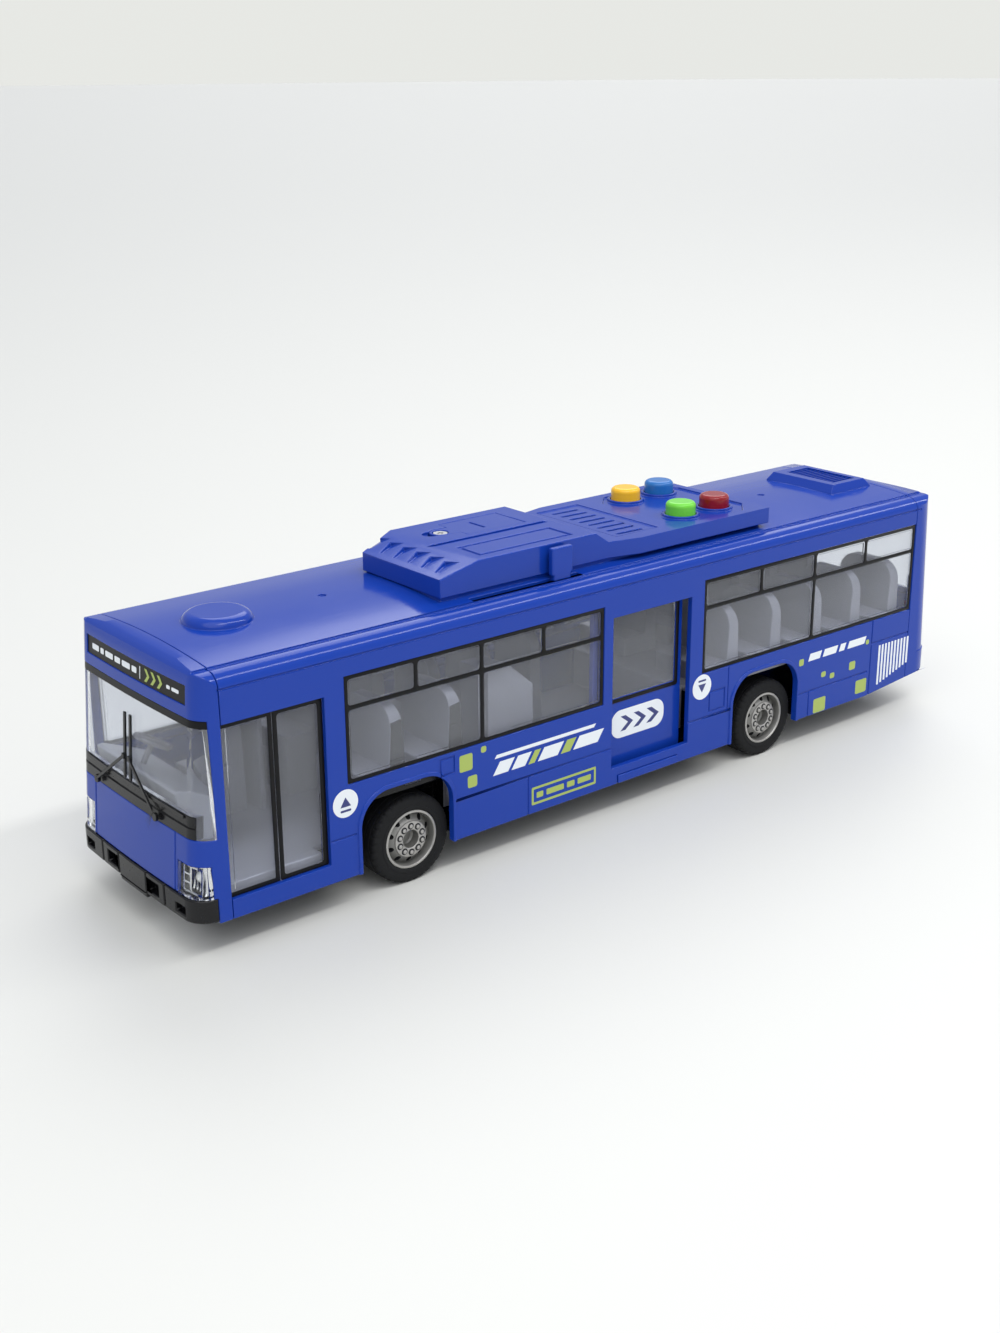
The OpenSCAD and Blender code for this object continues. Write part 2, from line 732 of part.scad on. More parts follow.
module front_bumper() color(trim_black) {
    block_y = 0.22 * half_w;
    pocket_x = front_x - 2.4;
    pocket_y = [0.25 * half_w, 0.68 * half_w];
    difference() {
        translate([bumper_proud, 0, 0]) along_z(bumper_z0, bumper_z1) difference() {
            end_plan(nose, 0);
            end_plan(nose, bumper_t);
        }
        slab(-front_x, bumper_x0 + fit, -body_w, body_w, 0, roof_z);
        both_sides() {
            slab(pocket_x, front_x + 1, pocket_y[0], pocket_y[0] + 5.6, bumper_z0 + 1.3, bumper_z1 - 1.4);
            slab(pocket_x, front_x + 1, pocket_y[1], pocket_y[1] + 4.6, bumper_z0 + 1.3, bumper_z0 + 3.6);
        }
        both_sides() for (y = [block_y, 2.3 * block_y]) slab(pocket_x, front_x + 1, y, y + groove_w, 0, roof_z);
    }
    slab(bumper_x0 + fit + 1, front_x - 0.2, -block_y, block_y, bumper_z0 - 1.3, bumper_z0 + 1);
}

// Rear end cap
module rear_fascia() color(body_blue) mirror([1, 0, 0]) difference() {
    union() {
        end_skin(tail, 0, wall);
        difference() {
            translate([bumper_proud, 0, 0]) along_z(sill_z + 2.6, sill_z + 10) end_plan(tail, 0);
            end_solid(tail, wall);
            slab(-front_x, tail[0] + seam_gap, -body_w, body_w, 0, roof_z);
        }
    }
    mirror([1, 0, 0]) skirt_cut(0);
    slab(tail[0], tail_x + reach, -rear_window_half, rear_window_half, rear_window_z0, rear_window_z1);
    both_sides() slab(tail[0] + 7, tail_x + reach, tail_lamp_y0, tail_lamp_y1, tail_lamp_z0, tail_lamp_z1);
    intersection() {
        end_skin(tail, -1, 0.6);
        for (k = [0 : 4]) slab(tail[0], tail_x + reach, -12, 12, sill_z + 12.6 + 2.4 * k,
            sill_z + 13.8 + 2.4 * k);
    }
    both_sides() slab(tail[0] - 1, tail[0] + 2.2, half_w - groove_d, half_w + 1, shoulder_z,
        shoulder_z + groove_w);
}

module rear_window() color(clear_tint) mirror([1, 0, 0]) {
    intersection() {
        end_skin(tail, 0.3, wall + 0.2);
        slab(tail[0], tail_x + reach, fit - rear_window_half, rear_window_half - fit,
            rear_window_z0 + fit, rear_window_z1 - fit);
    }
    intersection() {
        end_skin(tail, wall + 0.1, wall + 1.1);
        slab(tail[0] + 2, tail_x + reach, -rear_window_half - 2, rear_window_half + 2,
            rear_window_z0 - 2, rear_window_z1 + 2);
    }
}

module tail_lamps() color("firebrick") mirror([1, 0, 0]) both_sides() intersection() {
    end_skin(tail, -0.3, wall);
    slab(tail[0] + 7, tail_x + reach, tail_lamp_y0 + fit, tail_lamp_y1 - fit, tail_lamp_z0 + fit,
        tail_lamp_z1 - fit);
}

// Clear insert: a flange behind the wall, and a block in the opening with sunk panes between the bars
module glazing(x0, x1, z0, z1, face, lip0, lip1, low_bars, high_bars, mid_z) {
    slab(x0 - lip0, x1 + lip1, flange_in, in_w - fit, z0 - 1.8, z1 + 1.8);
    difference() {
        slab(x0 + fit, x1 - fit, flange_in, face, z0 + fit, z1 - fit);
        for (k = [0 : len(low_bars) - 2])
            slab(low_bars[k] + bar_w / 2, low_bars[k + 1] - bar_w / 2, face - 0.4, half_w + 1,
                z0 + bar_w, mid_z - bar_w / 2);
        for (k = [0 : len(high_bars) - 2])
            slab(high_bars[k] + bar_w / 2, high_bars[k + 1] - bar_w / 2, face - 0.4, half_w + 1,
                mid_z + bar_w / 2, z1 - bar_w);
    }
}

function bars(x0, x1, n) = [for (k = [0 : n]) x0 + bar_w / 2 + k * (x1 - x0 - bar_w) / n];

module side_window(x0, x1, lip0, lip1, low_n, high_n)
    glazing(x0, x1, pane_low, pane_high, half_w - 0.5, lip0, lip1, bars(x0, x1, low_n), bars(x0, x1, high_n),
        split_z);

module left_front_glazing() color(clear_tint)
    side_window(win1_x0, win1_x1, post_b / 2 - fit, post_a / 2 - fit, 2, 4);

module left_rear_glazing() color(clear_tint)
    side_window(seam_r, win2_x1, 0, post_c / 2, 2, 4);

module front_door_glazing() color(clear_tint) {
    face = in_w + 0.5;
    lip = post_a / 2 - fit;
    glazing(door1_x0, seam_f, door_z0, doorway_z, face, lip, 0, bars(door1_x0, seam_f, 2), [0],
        doorway_z - bar_w / 2);
}

module right_glazing() color(clear_tint) mirror([0, 1, 0]) {
    side_window(door1_x0, seam_f, post_a / 2, 0, 1, 2);
    side_window(win1_x0, win1_x1, post_b / 2, post_a / 2, 2, 4);
    side_window(door2_x0, door2_x1, post_c / 2, post_b / 2, 1, 1);
    side_window(seam_r, win2_x1, 0, post_c / 2, 2, 4);
}

// Sliding door
module door_leaf() color(body_blue) difference() {
    slab(leaf_x0, leaf_x1, leaf_in, leaf_out, leaf_z0, leaf_z1);
    slab(pane_x0, pane_x1, leaf_in - 1, leaf_out + 1, pane_z0, pane_z1);
    slab(pane_x0 - 1, pane_x1 + 1, leaf_in - 1, leaf_in + 0.8, pane_z0 - 1, pane_z1 + 1);
}

module door_glass() color(clear_tint) {
    slab(pane_x0 - 1 + fit, pane_x1 + 1 - fit, leaf_in, leaf_in + 0.8 - fit, pane_z0 - 1 + fit,
        pane_z1 + 1 - fit);
    slab(pane_x0 + fit, pane_x1 - fit, leaf_in, leaf_out - 0.3, pane_z0 + fit, pane_z1 - fit);
}

module door_lever() color(body_blue) {
    slab(leaf_x1, arm_x1, leaf_in, leaf_out, link_z0, leaf_z1);
    slab(arm_x0, arm_x1, lever_y0, leaf_out, link_z0, leaf_z1);
    slab(arm_x0, arm_x1, lever_y0, lever_y1, link_z0, roof_z);
    slab(lever_x0, lever_x0 + lever_l, lever_y0, lever_y1, roof_z, lever_z);
}

module door_rails() color(trim_black) {
    x0 = leaf_x0 - slide_shut - 1.4;
    difference() {
        slab(x0, leaf_x1 + slide_open + 1.4, leaf_in - slide_fit / 2 - rail_lip,
            leaf_out + slide_fit / 2 + rail_lip,
            chassis_top, leaf_z0 + 1.2);
        slab(x0 - 1, leaf_x1 + slide_open + 2.4, leaf_in - slide_fit / 2, leaf_out + slide_fit / 2,
            leaf_z0 - slide_fit, leaf_z0 + 2);
    }
    difference() {
        slab(x0, arm_x0 - slide_shut - 1, leaf_in - slide_fit / 2 - rail_lip, in_w - fit, leaf_z1 - 0.9,
            shoulder_z - fit);
        slab(x0 - 1, arm_x0, leaf_in - slide_fit / 2, leaf_out + slide_fit / 2, leaf_z1 - 2,
            leaf_z1 + slide_fit);
    }
}

module step_bar() color(body_blue)
    slab(step_x0, step_x1, in_w - fit, half_w + lip_h, chassis_z, step_z1);

// Interior
module seat(x, y0, y1, z, base) {
    top = z + seat_h;
    slab(x + 1, x + seat_l, y0, y1, base, z + cushion_h);
    intersection() {
        along_y(y0, y1) polygon([[x, base], [x + 5.6, base], [x + 4.2, top], [x + 0.8, top]]);
        along_x(x - 1, x + seat_l) round_rect(y0, y1, base - 1, top, 6, false);
    }
}

module interior() color(seat_grey) {
    low_end = seam_f - 1;
    well_x0 = front_axle_x - well_run;
    well_x1 = front_axle_x + well_run;
    aisle = 7;
    engine_x0 = seam_r + 3;
    row = 19;
    box_row = front_axle_x - 18;
    low_row = win1_x0 + 9;
    rear_rows = floor((riser_x - seat_l - engine_x0) / row);
    low_rows = floor((box_row - seat_l - low_row) / row) + 1;
    // Low floor with a raised box over each front wheel
    difference() {
        slab(riser_x, low_end, -tray_half, tray_half, floor_z - floor_t, floor_z);
        both_sides() slab(well_x0, well_x1, well_in - floor_t, body_w, 0, roof_z);
    }
    both_sides() {
        slab(well_x0 - floor_t, well_x1 + floor_t, well_in - floor_t, cabin_half, well_z - floor_t, well_z);
        slab(well_x0 - floor_t, well_x1 + floor_t, well_in - floor_t, well_in, floor_z - floor_t, well_z);
        for (x = [well_x0 - floor_t, well_x1]) slab(x, x + floor_t, well_in - floor_t, tray_half, floor_z,
            well_z);
    }
    // Tread and kick plate inside the front door
    slab(door1_x0 + 0.6, low_end, tray_half - 1, cabin_half, floor_z - floor_t, floor_z);
    slab(door1_x0 + 0.6, low_end, cabin_half - 1.2, cabin_half, chassis_top + 0.3, floor_z);
    // Raised floor over the motor, on its riser and a rear leg
    slab(engine_x0, riser_x + floor_t, -tray_half, tray_half, engine_z - floor_t, engine_z);
    slab(engine_x0, leaf_x0 - slide_shut - 2.4, -cabin_half, cabin_half, engine_z - floor_t, engine_z);
    slab(riser_x, riser_x + floor_t, -tray_half, tray_half, floor_z - floor_t, engine_z);
    slab(engine_x0, engine_x0 + floor_t, -tray_half, tray_half, chassis_top + 3, engine_z);
    // Seats on the raised floor, on the wheel boxes, and along the far side of the low floor
    both_sides() {
        for (k = [0 : rear_rows]) seat(engine_x0 + row * k, aisle, cabin_half, engine_z, engine_z);
        for (k = [0 : 1]) {
            seat(box_row + row * k, aisle, well_in - 0.2, well_z, floor_z);
            seat(box_row + row * k, aisle, cabin_half, well_z, well_z);
        }
    }
    for (k = [0 : low_rows]) seat(low_row + row * (k - 1), -tray_half, -aisle, floor_z + 6, floor_z);
    // Luggage box by the middle door
    along_y(aisle + 5, tray_half) polygon([[low_row + 11, floor_z], [low_row + 27, floor_z],
        [low_row + 27, split_z - 4], [low_row + 19, split_z - 4], [low_row + 11, split_z - 11]]);
    // Partition and driver's seat on the far side
    slab(door1_x0 - 3, door1_x0 - 1.6, -tray_half, -4, floor_z, split_z);
    seat(dash_x0 - 17.7, 6.2 - tray_half, -aisle, floor_z + 8, floor_z);
}

module dashboard() color(seat_grey) difference() {
    along_y(-cabin_half, half_w / 2.4) polygon([[dash_x0, floor_z], [seam_f - 1.2, floor_z],
        [seam_f + 2.4, cowl_z0], [seam_f + 3.2, cowl_z1], [seam_f + 1.6, dash_z1], [dash_x0, dash_z1 - 5]]);
    translate(wheel_c) rotate([0, 180 - column_tilt, 0]) cylinder(r = 0.8 + fit, h = 2 * reach);
}

module steering_wheel() color("#3a3a3c") translate(wheel_c) rotate([0, 180 - column_tilt, 0]) {
    ring_r = 4.4;
    rotate_extrude() translate([ring_r, 0]) circle(0.75);
    for (a = [0, 120, 240]) rotate([0, 0, a]) slab(0, ring_r, -0.6, 0.6, -0.4, 0.4);
    cylinder(r = 1.7, h = 1);
    cylinder(r = 0.8, h = 2 * reach - 1);
}

// Chassis
module axle_blocks(x) both_sides() difference() {
    slab(x - 3, x + 3, bush_in, bush_out, chassis_z, wheel_r + axle_r + 1.4);
    rod_y(x, wheel_r, axle_r + run_fit, 0, half_w);
}

module chassis_plate() color(trim_black) {
    rib_y = 10;
    difference() {
        slab(seam_r + 1, seam_f - 0.4, -in_w + 2 * fit, in_w - 2 * fit, chassis_z, chassis_top);
        skirt_cut(-0.2);
        for (x = [front_axle_x, rear_axle_x]) {
            both_sides() slab(x - well_run, x + well_run + arch_shift, well_in, half_w, 0, roof_z);
            rod_y(x, wheel_r, axle_r + 0.4, -half_w, half_w);
        }
        slab(case_x0 - case_wall - 0.3, case_x1 + case_wall + 0.3, case_y0 - case_wall - 0.3,
            case_y1 + case_wall + 0.3, 0, roof_z);
        both_sides() for (x = boss_x) {
            rod_z(x, boss_y, bore_r + 0.15, 0, roof_z);
            rod_z(x, boss_y, screw_head_r + 0.2, 0, chassis_z + 1.3);
        }
        for (x = ear_x) {
            rod_z(x, ear_y, bore_r, 0, roof_z);
        }
    }
    for (x = [front_axle_x, rear_axle_x]) axle_blocks(x);
    // Ribs that carry the interior floor
    both_sides() slab(front_axle_x - well_run - 30, front_axle_x - 6, rib_y, rib_y + 1.6, chassis_top,
        floor_z - floor_t);
    slab(seam_r + 6, seam_r + 7.6, -rib_y, rib_y, chassis_top, engine_z - floor_t);
}

module pan_screw(x, y, z, r, length) {
    rod_z(x, y, screw_head_r, z, z + 1.2);
    rod_z(x, y, r, z, z + 1.2 + length);
}

module chassis_screws() color(steel) {
    for (x = boss_x) both_sides() pan_screw(x, boss_y, chassis_z + 0.05, bore_r - run_fit, 7);
    for (x = ear_x) translate([x, ear_y, 0]) mirror([0, 0, 1])
        pan_screw(0, 0, -chassis_top - ear_t - 1.25, bore_r - run_fit, ear_t + chassis_t - 0.4);
}

// Wheels: profiles are drawn as radius and distance from the outer face of the tyre
module on_axle(x) translate([x, 0, wheel_r]) rotate([-90, 0, 0]) {
    translate([0, 0, wheel_out]) children();
    mirror([0, 0, 1]) translate([0, 0, wheel_out]) children();
}

module tyre() rotate_extrude() difference() {
    union() {
        translate([rim_r, -tyre_w + 1]) square([wheel_r - rim_r, tyre_w - 2]);
        translate([rim_r, -tyre_w]) square([wheel_r - rim_r - 1, tyre_w]);
        for (z = [-tyre_w + 1, -1]) translate([wheel_r - 1, z]) circle(1);
    }
    for (k = [1 : 3]) translate([wheel_r - 0.45, -k * tyre_w / 4 - 0.25]) square([1, 0.5]);
}

module hub() {
    seat_r = rim_r - fit / 2;
    bolt_r = rim_r / 2 - 0.2;
    difference() {
        rotate_extrude() polygon([[0, -3.6], [1.9, -3.6], [2.3, -2.1], [5, -2.1], [5.4, -3.2], [6.7, -3.2],
            [seat_r - 0.9, -0.5], [seat_r, -0.5], [seat_r, -7.6], [seat_r - 1, -7.6], [seat_r - 1.2, -4.8],
            [2.8, -4.8], [2.8, -8.4], [0, -8.4]]);
        translate([0, 0, -9]) cylinder(r = axle_r + fit / 5, h = 4.6);
        for (k = [0 : 9]) rotate([0, 0, 36 * k]) translate([6.05, 0, -reach]) cylinder(r = 0.6, h = reach);
    }
    for (k = [0 : 9]) rotate([0, 0, 36 * k + 18]) translate([bolt_r, 0, -2.2]) cylinder(r = 0.6, h = 0.8);
}

module axle(x) rod_y(x, wheel_r, axle_r, 4.5 - wheel_out, wheel_out - 4.5);

module front_axle() color(steel) axle(front_axle_x);

module rear_axle() color(steel) axle(rear_axle_x);

module front_tyres() color(trim_black) on_axle(front_axle_x) tyre();

module rear_tyres() color(trim_black) on_axle(rear_axle_x) tyre();

module front_hubs() color("#b9bbb6") on_axle(front_axle_x) hub();

module rear_hubs() color("#b9bbb6") on_axle(rear_axle_x) hub();

// Friction motor
function involute(a) = (tan(a) - a * PI / 180) * 180 / PI;

// Half the angle of a tooth at radius r
function tooth_half(n, r) =
    let (pitch_r = gear_m * n / 2, base_r = pitch_r * cos(pressure), side = acos(min(1, base_r / r)))
    90 / n - backlash / pitch_r * 90 / PI + involute(pressure) - involute(side);

module gear_outline(n) {
    pitch_r = gear_m * n / 2;
    base_r = pitch_r * cos(pressure);
    tip_r = pitch_r + tip * gear_m;
    root_r = pitch_r - root * gear_m;
    first_r = max(base_r, root_r);
    radii = concat([root_r], [for (k = [0 : 4]) first_r + (tip_r - first_r) * k / 4]);
    polygon([for (t = [0 : n - 1]) each concat(
        [for (r = radii) let (a = 360 * t / n - tooth_half(n, max(r, first_r))) r * [cos(a), sin(a)]],
        [for (k = [len(radii) - 1 : -1 : 0])
            let (r = radii[k], a = 360 * t / n + tooth_half(n, max(r, first_r))) r * [cos(a), sin(a)]])]);
}

module gear(x, z, n, y, w, turn) translate([x, y, z]) rotate([-90, 0, 0]) rotate([0, 0, turn])
    linear_extrude(w) gear_outline(n);

module axle_gear() color("ivory") difference() {
    gear(rear_axle_x, wheel_r, axle_teeth, gear_y, gear_w, mesh1_angle);
    rod_y(rear_axle_x, wheel_r, axle_r + fit / 5, gear_y - 1, gear_y + gear_w + 1);
}

module idler_gear() color("ivory") {
    gear(idler_x, idler_z, pinion_teeth, gear_y, wheel_y - gear_y, mesh1_angle + 180 + 180 / pinion_teeth);
    gear(idler_x, idler_z, idler_teeth, wheel_y, wheel_w, mesh2_angle);
    rod_y(idler_x, idler_z, shaft_r, case_y0 - case_wall, case_y1 + case_wall);
}

module flywheel() color(steel) {
    gear(fly_x, fly_z, pinion_teeth, wheel_y, fly_y - wheel_y, mesh2_angle + 180 + 180 / pinion_teeth);
    rod_y(fly_x, fly_z, flywheel_r, fly_y, fly_y + flywheel_t);
    rod_y(fly_x, fly_z, shaft_r, case_y0 - case_wall, case_y1 + case_wall);
}

module motor_bores() {
    rod_y(rear_axle_x, wheel_r, axle_r + run_fit, case_y0 - reach, case_y1 + reach);
    rod_y(idler_x, idler_z, shaft_r + run_fit, case_y0 - reach, case_y1 + reach);
    rod_y(fly_x, fly_z, shaft_r + run_fit, case_y0 - reach, case_y1 + reach);
}

module motor_case() color("#2c2c30") difference() {
    union() {
        slab(case_x0 - case_wall, case_x1 + case_wall, case_y0 - case_wall, case_y1,
            case_z0 - case_wall, case_z1 + case_wall);
        slab(case_x0 - case_wall - ear_l, case_x1 + case_wall + ear_l, ear_y - 3, ear_y + 3,
            chassis_top, chassis_top + ear_t);
    }
    slab(case_x0, case_x1, case_y0, case_y1 + 1, case_z0, case_z1);
    motor_bores();
    for (x = ear_x) rod_z(x, ear_y, bore_r + 0.1, 0, roof_z);
}

module motor_cover() color("#2c2c30") difference() {
    slab(case_x0 - case_wall, case_x1 + case_wall, case_y1 + 0.02, case_y1 + case_wall,
        case_z0 - case_wall, case_z1 + case_wall);
    motor_bores();
}

// Roof pod
module pod_solid(inset) {
    foot = inset > 0 ? plinth_z - reach : plinth_z;
    intersection() {
        along_y(pod_far + inset, pod_near - inset) polygon([[pod_x1 - inset, foot],
            [pod_x1 - inset, pod_nose_z - inset],
            [pod_crest_x - inset / 4, pod_top_z - inset], [pod_step_x + inset, pod_top_z - inset],
            [pod_foot_x + inset, deck_z - inset], [pod_foot_x - 1, deck_z - inset], [pod_foot_x - 1, foot]]);
        along_z(foot, pod_top_z) polygon([[pod_x1 - inset, pod_near],
            [pod_x1 - inset, pod_far + corner_cut[1] + inset],
            [pod_x1 - corner_cut[0] - inset, pod_far + inset], [deck_x, pod_far], [deck_x, pod_near]]);
    }
    along_z(foot, deck_z - inset) polygon([[pod_foot_x, pod_near - inset], [pod_foot_x, pod_far + inset],
        [deck_x - inset / 4, pod_far - deck_wider + inset], [pod_x0 + inset, pod_far - deck_wider + inset],
        [pod_x0 + inset, pod_near + deck_wider - inset], [deck_x - inset / 4, pod_near + deck_wider - inset]]);
}

module deck_recess() {
    x0 = pod_x0 + 2.6;
    x1 = deck_x - 18;
    y0 = pod_far - deck_wider + 3;
    y1 = pod_near + deck_wider - 3;
    cut = 6;
    along_z(deck_z - deck_cut, deck_z + 1) polygon([[x0 + cut, y0], [x1 - cut, y0], [x1, y0 + cut],
        [x1, y1 - cut],
        [x1 - cut, y1], [x0 + cut, y1], [x0, y1 - cut], [x0, y0 + cut]]);
}

// Saw-tooth louvres on the sloped front of the pod
module pod_louvres() {
    slope = atan2(pod_top_z - pod_nose_z, pod_x1 - pod_crest_x);
    pitch = (pod_near - pod_far) / 6.5;
    for (k = [0 : 5])
        translate([pod_x1 - 2.4, pod_far + 4.2 + k * pitch, pod_nose_z + 0.5]) rotate([0, slope, 0])
            rotate([0, 0, 27]) translate([0, 0, -0.45]) rotate([15, -6, 0]) slab(-6.2, 0, 0, 4.6, 0, 4);
}

module speaker_slots() {
    count = 8;
    slot_l = 8.4;
    slot_w = 1.2;
    pitch = 4.1;
    for (k = [0 : count - 1])
        translate([speaker_x + 0.6 + 0.1 * k, pod_mid + (k - (count - 1) / 2) * pitch, 0]) rotate([0, 0, -3])
            along_z(deck_z - reach, deck_z + 1) {
                translate([-slot_l / 2, -slot_w / 2]) square([slot_l, slot_w]);
                for (x = [-slot_l / 2, slot_l / 2]) translate([x, 0]) circle(slot_w / 2);
            }
}

module roof_pod() color(body_blue) difference() {
    union() {
        difference() {
            pod_solid(0);
            pod_solid(pod_wall);
        }
        // Battery box, screw pad and bosses moulded under the cover
        slab(box_x0 - box_wall, box_x0 + box_l + box_wall, box_y - box_half - box_wall,
            box_y + box_half + box_wall,
            box_z - 1, lid_z);
        slab(box_x0, lid_x0 + lid_l + 1, box_y - box_half - box_wall, box_y + box_half + box_wall,
            lid_z - 1.4, lid_z);
        rod_z(lid_screw_x, box_y, 2.2, plinth_z, lid_z);
        for (y = pod_screw_y) {
            rod_z(pod_screw_x[0], y, 2.2, plinth_z, pod_nose_z + 0.2);
            rod_z(pod_screw_x[1], y, 2.2, plinth_z, deck_z - 0.8);
        }
        for (x = button_x, y = button_y) rod_z(x, y, button_r + collar_w, deck_z - pod_wall, deck_z + collar_h);
    }
    difference() {
        deck_recess();
        for (x = button_x, y = button_y) rod_z(x, y, button_r + collar_w, 0, over_z);
    }
    for (x = button_x, y = button_y) rod_z(x, y, button_r + slide_fit, deck_z - reach, over_z);
    slab(box_x0, box_x0 + box_l, box_y - box_half, box_y + box_half, box_z, over_z);
    along_z(lid_z, over_z) lid_plan(0);
    rod_z(lid_screw_x + 3.4, box_y, 2.4, pod_top_z - 1, over_z);
    rod_z(lid_screw_x, box_y, screw_r, plinth_z + 1, over_z);
    for (x = pod_screw_x, y = pod_screw_y) rod_z(x, y, screw_r + 0.05, plinth_z - 1, plinth_z + 3.2);
    pod_louvres();
    speaker_slots();
    slab(speaker_x - 7.5, pod_foot_x - 5.6, pod_far + 2, pod_near - 3, deck_z - 0.35, over_z);
    // Middle groove and a framed panel on the door side
    slab(pod_step_x + 2, pod_crest_x + 4, pod_mid, pod_mid + 1.8, pod_top_z - 0.5, over_z);
    difference() {
        slab(lid_x0 - 1, pod_crest_x - 3, pod_mid + 6.6, pod_near - 3.4, pod_top_z - 0.5, over_z);
        slab(lid_x0, pod_crest_x - 4, pod_mid + 7.6, pod_near - 4.4, 0, over_z);
    }
}

// Plan of the battery door, shrunk by inset: a plate with a tongue round its screw
module lid_plan(inset) {
    plate_x1 = lid_x0 + 0.7 * lid_l;
    translate([lid_x0 + inset, box_y - lid_half + inset])
        square([plate_x1 - lid_x0 - 2 * inset, 2 * (lid_half - inset)]);
    translate([lid_x0 + reach, box_y - tongue_r + inset])
        square([lid_screw_x - lid_x0 - reach, 2 * (tongue_r - inset)]);
    translate([lid_screw_x, box_y]) circle(tongue_r - inset);
}

module battery_door() color(body_blue) difference() {
    along_z(lid_z, lid_z + door_t) lid_plan(fit);
    rod_z(lid_screw_x, box_y, screw_r + 0.2, 0, over_z);
    rod_z(lid_screw_x, box_y, screw_head_r + 0.3, lid_z + 0.5, over_z);
    slab(lid_x0 + 12, lid_x0 + 12.8, box_y - 3.6, box_y + 3.6, lid_z + door_t - 0.5, over_z);
}

module battery_screw() color(steel) difference() {
    union() {
        rod_z(lid_screw_x, box_y, screw_head_r, lid_z + 0.5, lid_z + 1.2);
        rod_z(lid_screw_x, box_y, screw_r - 0.03, plinth_z + 1.6, lid_z + 1);
    }
    for (a = [0, 90]) translate([lid_screw_x, box_y, lid_z + 0.8]) rotate([0, 0, a]) slab(-1.1, 1.1, -0.25,
        0.25, 0, 1);
}

module button(x, y) {
    cap_r = 2;
    rotate_z = button_z - 1.3;
    translate([x, y, 0]) {
        rod_z(0, 0, button_r, button_flange_z - button_rim, rotate_z);
        translate([0, 0, rotate_z]) rotate_extrude() {
            square([button_r - 1.3, 1.3]);
            intersection() {
                translate([button_r - 1.3, 0]) circle(1.3);
                square([button_r, 1.3]);
            }
        }
        rod_z(0, 0, button_r + 0.7, button_flange_z - button_rim, button_flange_z);
        rod_z(0, 0, cap_r - 0.5, pad_top + button_travel + 0.1, button_flange_z);
    }
}

module button_yellow() color("gold") button(button_x[0], button_y[0]);

module button_blue() color("dodgerblue") button(button_x[1], button_y[0]);

module button_green() color("yellowgreen") button(button_x[0], button_y[1]);

module button_red() color("firebrick") button(button_x[1], button_y[1]);

module button_pad() color("gainsboro") {
    slab(board_x0 + 0.3, button_x[0] + 3, button_y[0] - 2.2, button_y[1] + 2.2,
        board_z + board_t, board_z + board_t + pad_t);
    for (x = button_x, y = button_y) rod_z(x, y, 1.9, board_z + board_t, pad_top);
}

module circuit_board() color("seagreen")
    slab(board_x0, board_x1, tray_y0 + tray_wall + 0.4, tray_y1 - tray_wall - 0.4, board_z, board_z + board_t);

module electronics_tray() color(trim_black) {
    flange = 1;
    flange_h = 0.6;
    difference() {
        union() {
            slab(tray_x0, tray_x1, tray_y0, tray_y1, tray_z, plinth_z + flange_h);
            slab(tray_x0 - flange, tray_x1 + flange, tray_y0 - flange, tray_y1 + flange, plinth_z,
                plinth_z + flange_h);
        }
        slab(tray_x0 + tray_wall, tray_x1 - tray_wall, tray_y0 + tray_wall, tray_y1 - tray_wall, tray_top,
            over_z);
    }
    for (x = [board_x0 + 2, board_x1 - 2], y = [tray_y0 + 4, tray_y1 - 4]) rod_z(x, y, 1.4, tray_top - 0.1,
        board_z);
    difference() {
        rod_z(speaker_x, pod_mid, speaker_r - 0.6, tray_top - 0.1, speaker_z0);
        rod_z(speaker_x, pod_mid, speaker_r - 2.2, 0, over_z);
    }
}

module speaker() color("dimgray") difference() {
    union() {
        rod_z(speaker_x, pod_mid, speaker_r, speaker_z0 + 2.4, speaker_z1);
        rod_z(speaker_x, pod_mid, speaker_r - 3, speaker_z0 - 2, speaker_z0 + 2.4);
        rod_z(speaker_x, pod_mid, speaker_r - 0.6, speaker_z0, speaker_z0 + 2.4);
    }
    rod_z(speaker_x, pod_mid, speaker_r - 1.6, speaker_z0 + 3, over_z);
}

module speaker_cone() color("black") translate([speaker_x, pod_mid, speaker_z0 + 3]) rotate_extrude()
    polygon([[0, 0], [speaker_r - 5, 0], [speaker_r - 1.7, 1], [speaker_r - 1.7, 1.4], [speaker_r - 5, 0.5],
        [0, 1.4]]);

module button_cells() color(steel) for (k = [0 : cell_n - 1])
    translate([box_x0 + 0.6 + k * cell_t, box_y, cell_z]) rotate([0, 90, 0]) cylinder(r = cell_r,
        h = cell_t - 0.04);

module cell_contacts() color("goldenrod") {
    slab(box_x0 + 0.05, box_x0 + 0.5, box_y - 4, box_y + 4, box_z + 0.05, lid_z - 1);
    slab(box_x0 + box_l - 0.85, box_x0 + box_l - 0.05, box_y - 4, box_y + 4, box_z + 0.05, lid_z - 1);
}

module pod_screws() color(steel) for (x = pod_screw_x, y = pod_screw_y)
    let (head_z = roof_z - wall - y * y / (2 * crown_r) - 1.5)
        pan_screw(x, y, head_z, screw_r, plinth_z + 1.4 - head_z);

body_shell();
front_fascia();
rear_fascia();
front_bumper();
windshield();
wiper_cowl();
wipers();
headlamp_left();
headlamp_right();
headlamp_leds();
destination_sign();
front_door_glazing();
left_front_glazing();
left_rear_glazing();
right_glazing();
rear_window();
tail_lamps();
door_leaf();
door_glass();
door_lever();
door_rails();
step_bar();
interior();
dashboard();
steering_wheel();
chassis_plate();
chassis_screws();
front_axle();
front_tyres();
front_hubs();
rear_axle();
rear_tyres();
rear_hubs();
motor_case();
motor_cover();
axle_gear();
idler_gear();
flywheel();
roof_pod();
battery_door();
battery_screw();
button_yellow();
button_blue();
button_green();
button_red();
button_pad();
circuit_board();
speaker();
speaker_cone();
electronics_tray();
button_cells();
cell_contacts();
pod_screws();
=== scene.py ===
"""Toy city bus: blue mouldings, clear windows, printed trim and wheels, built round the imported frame."""
import math

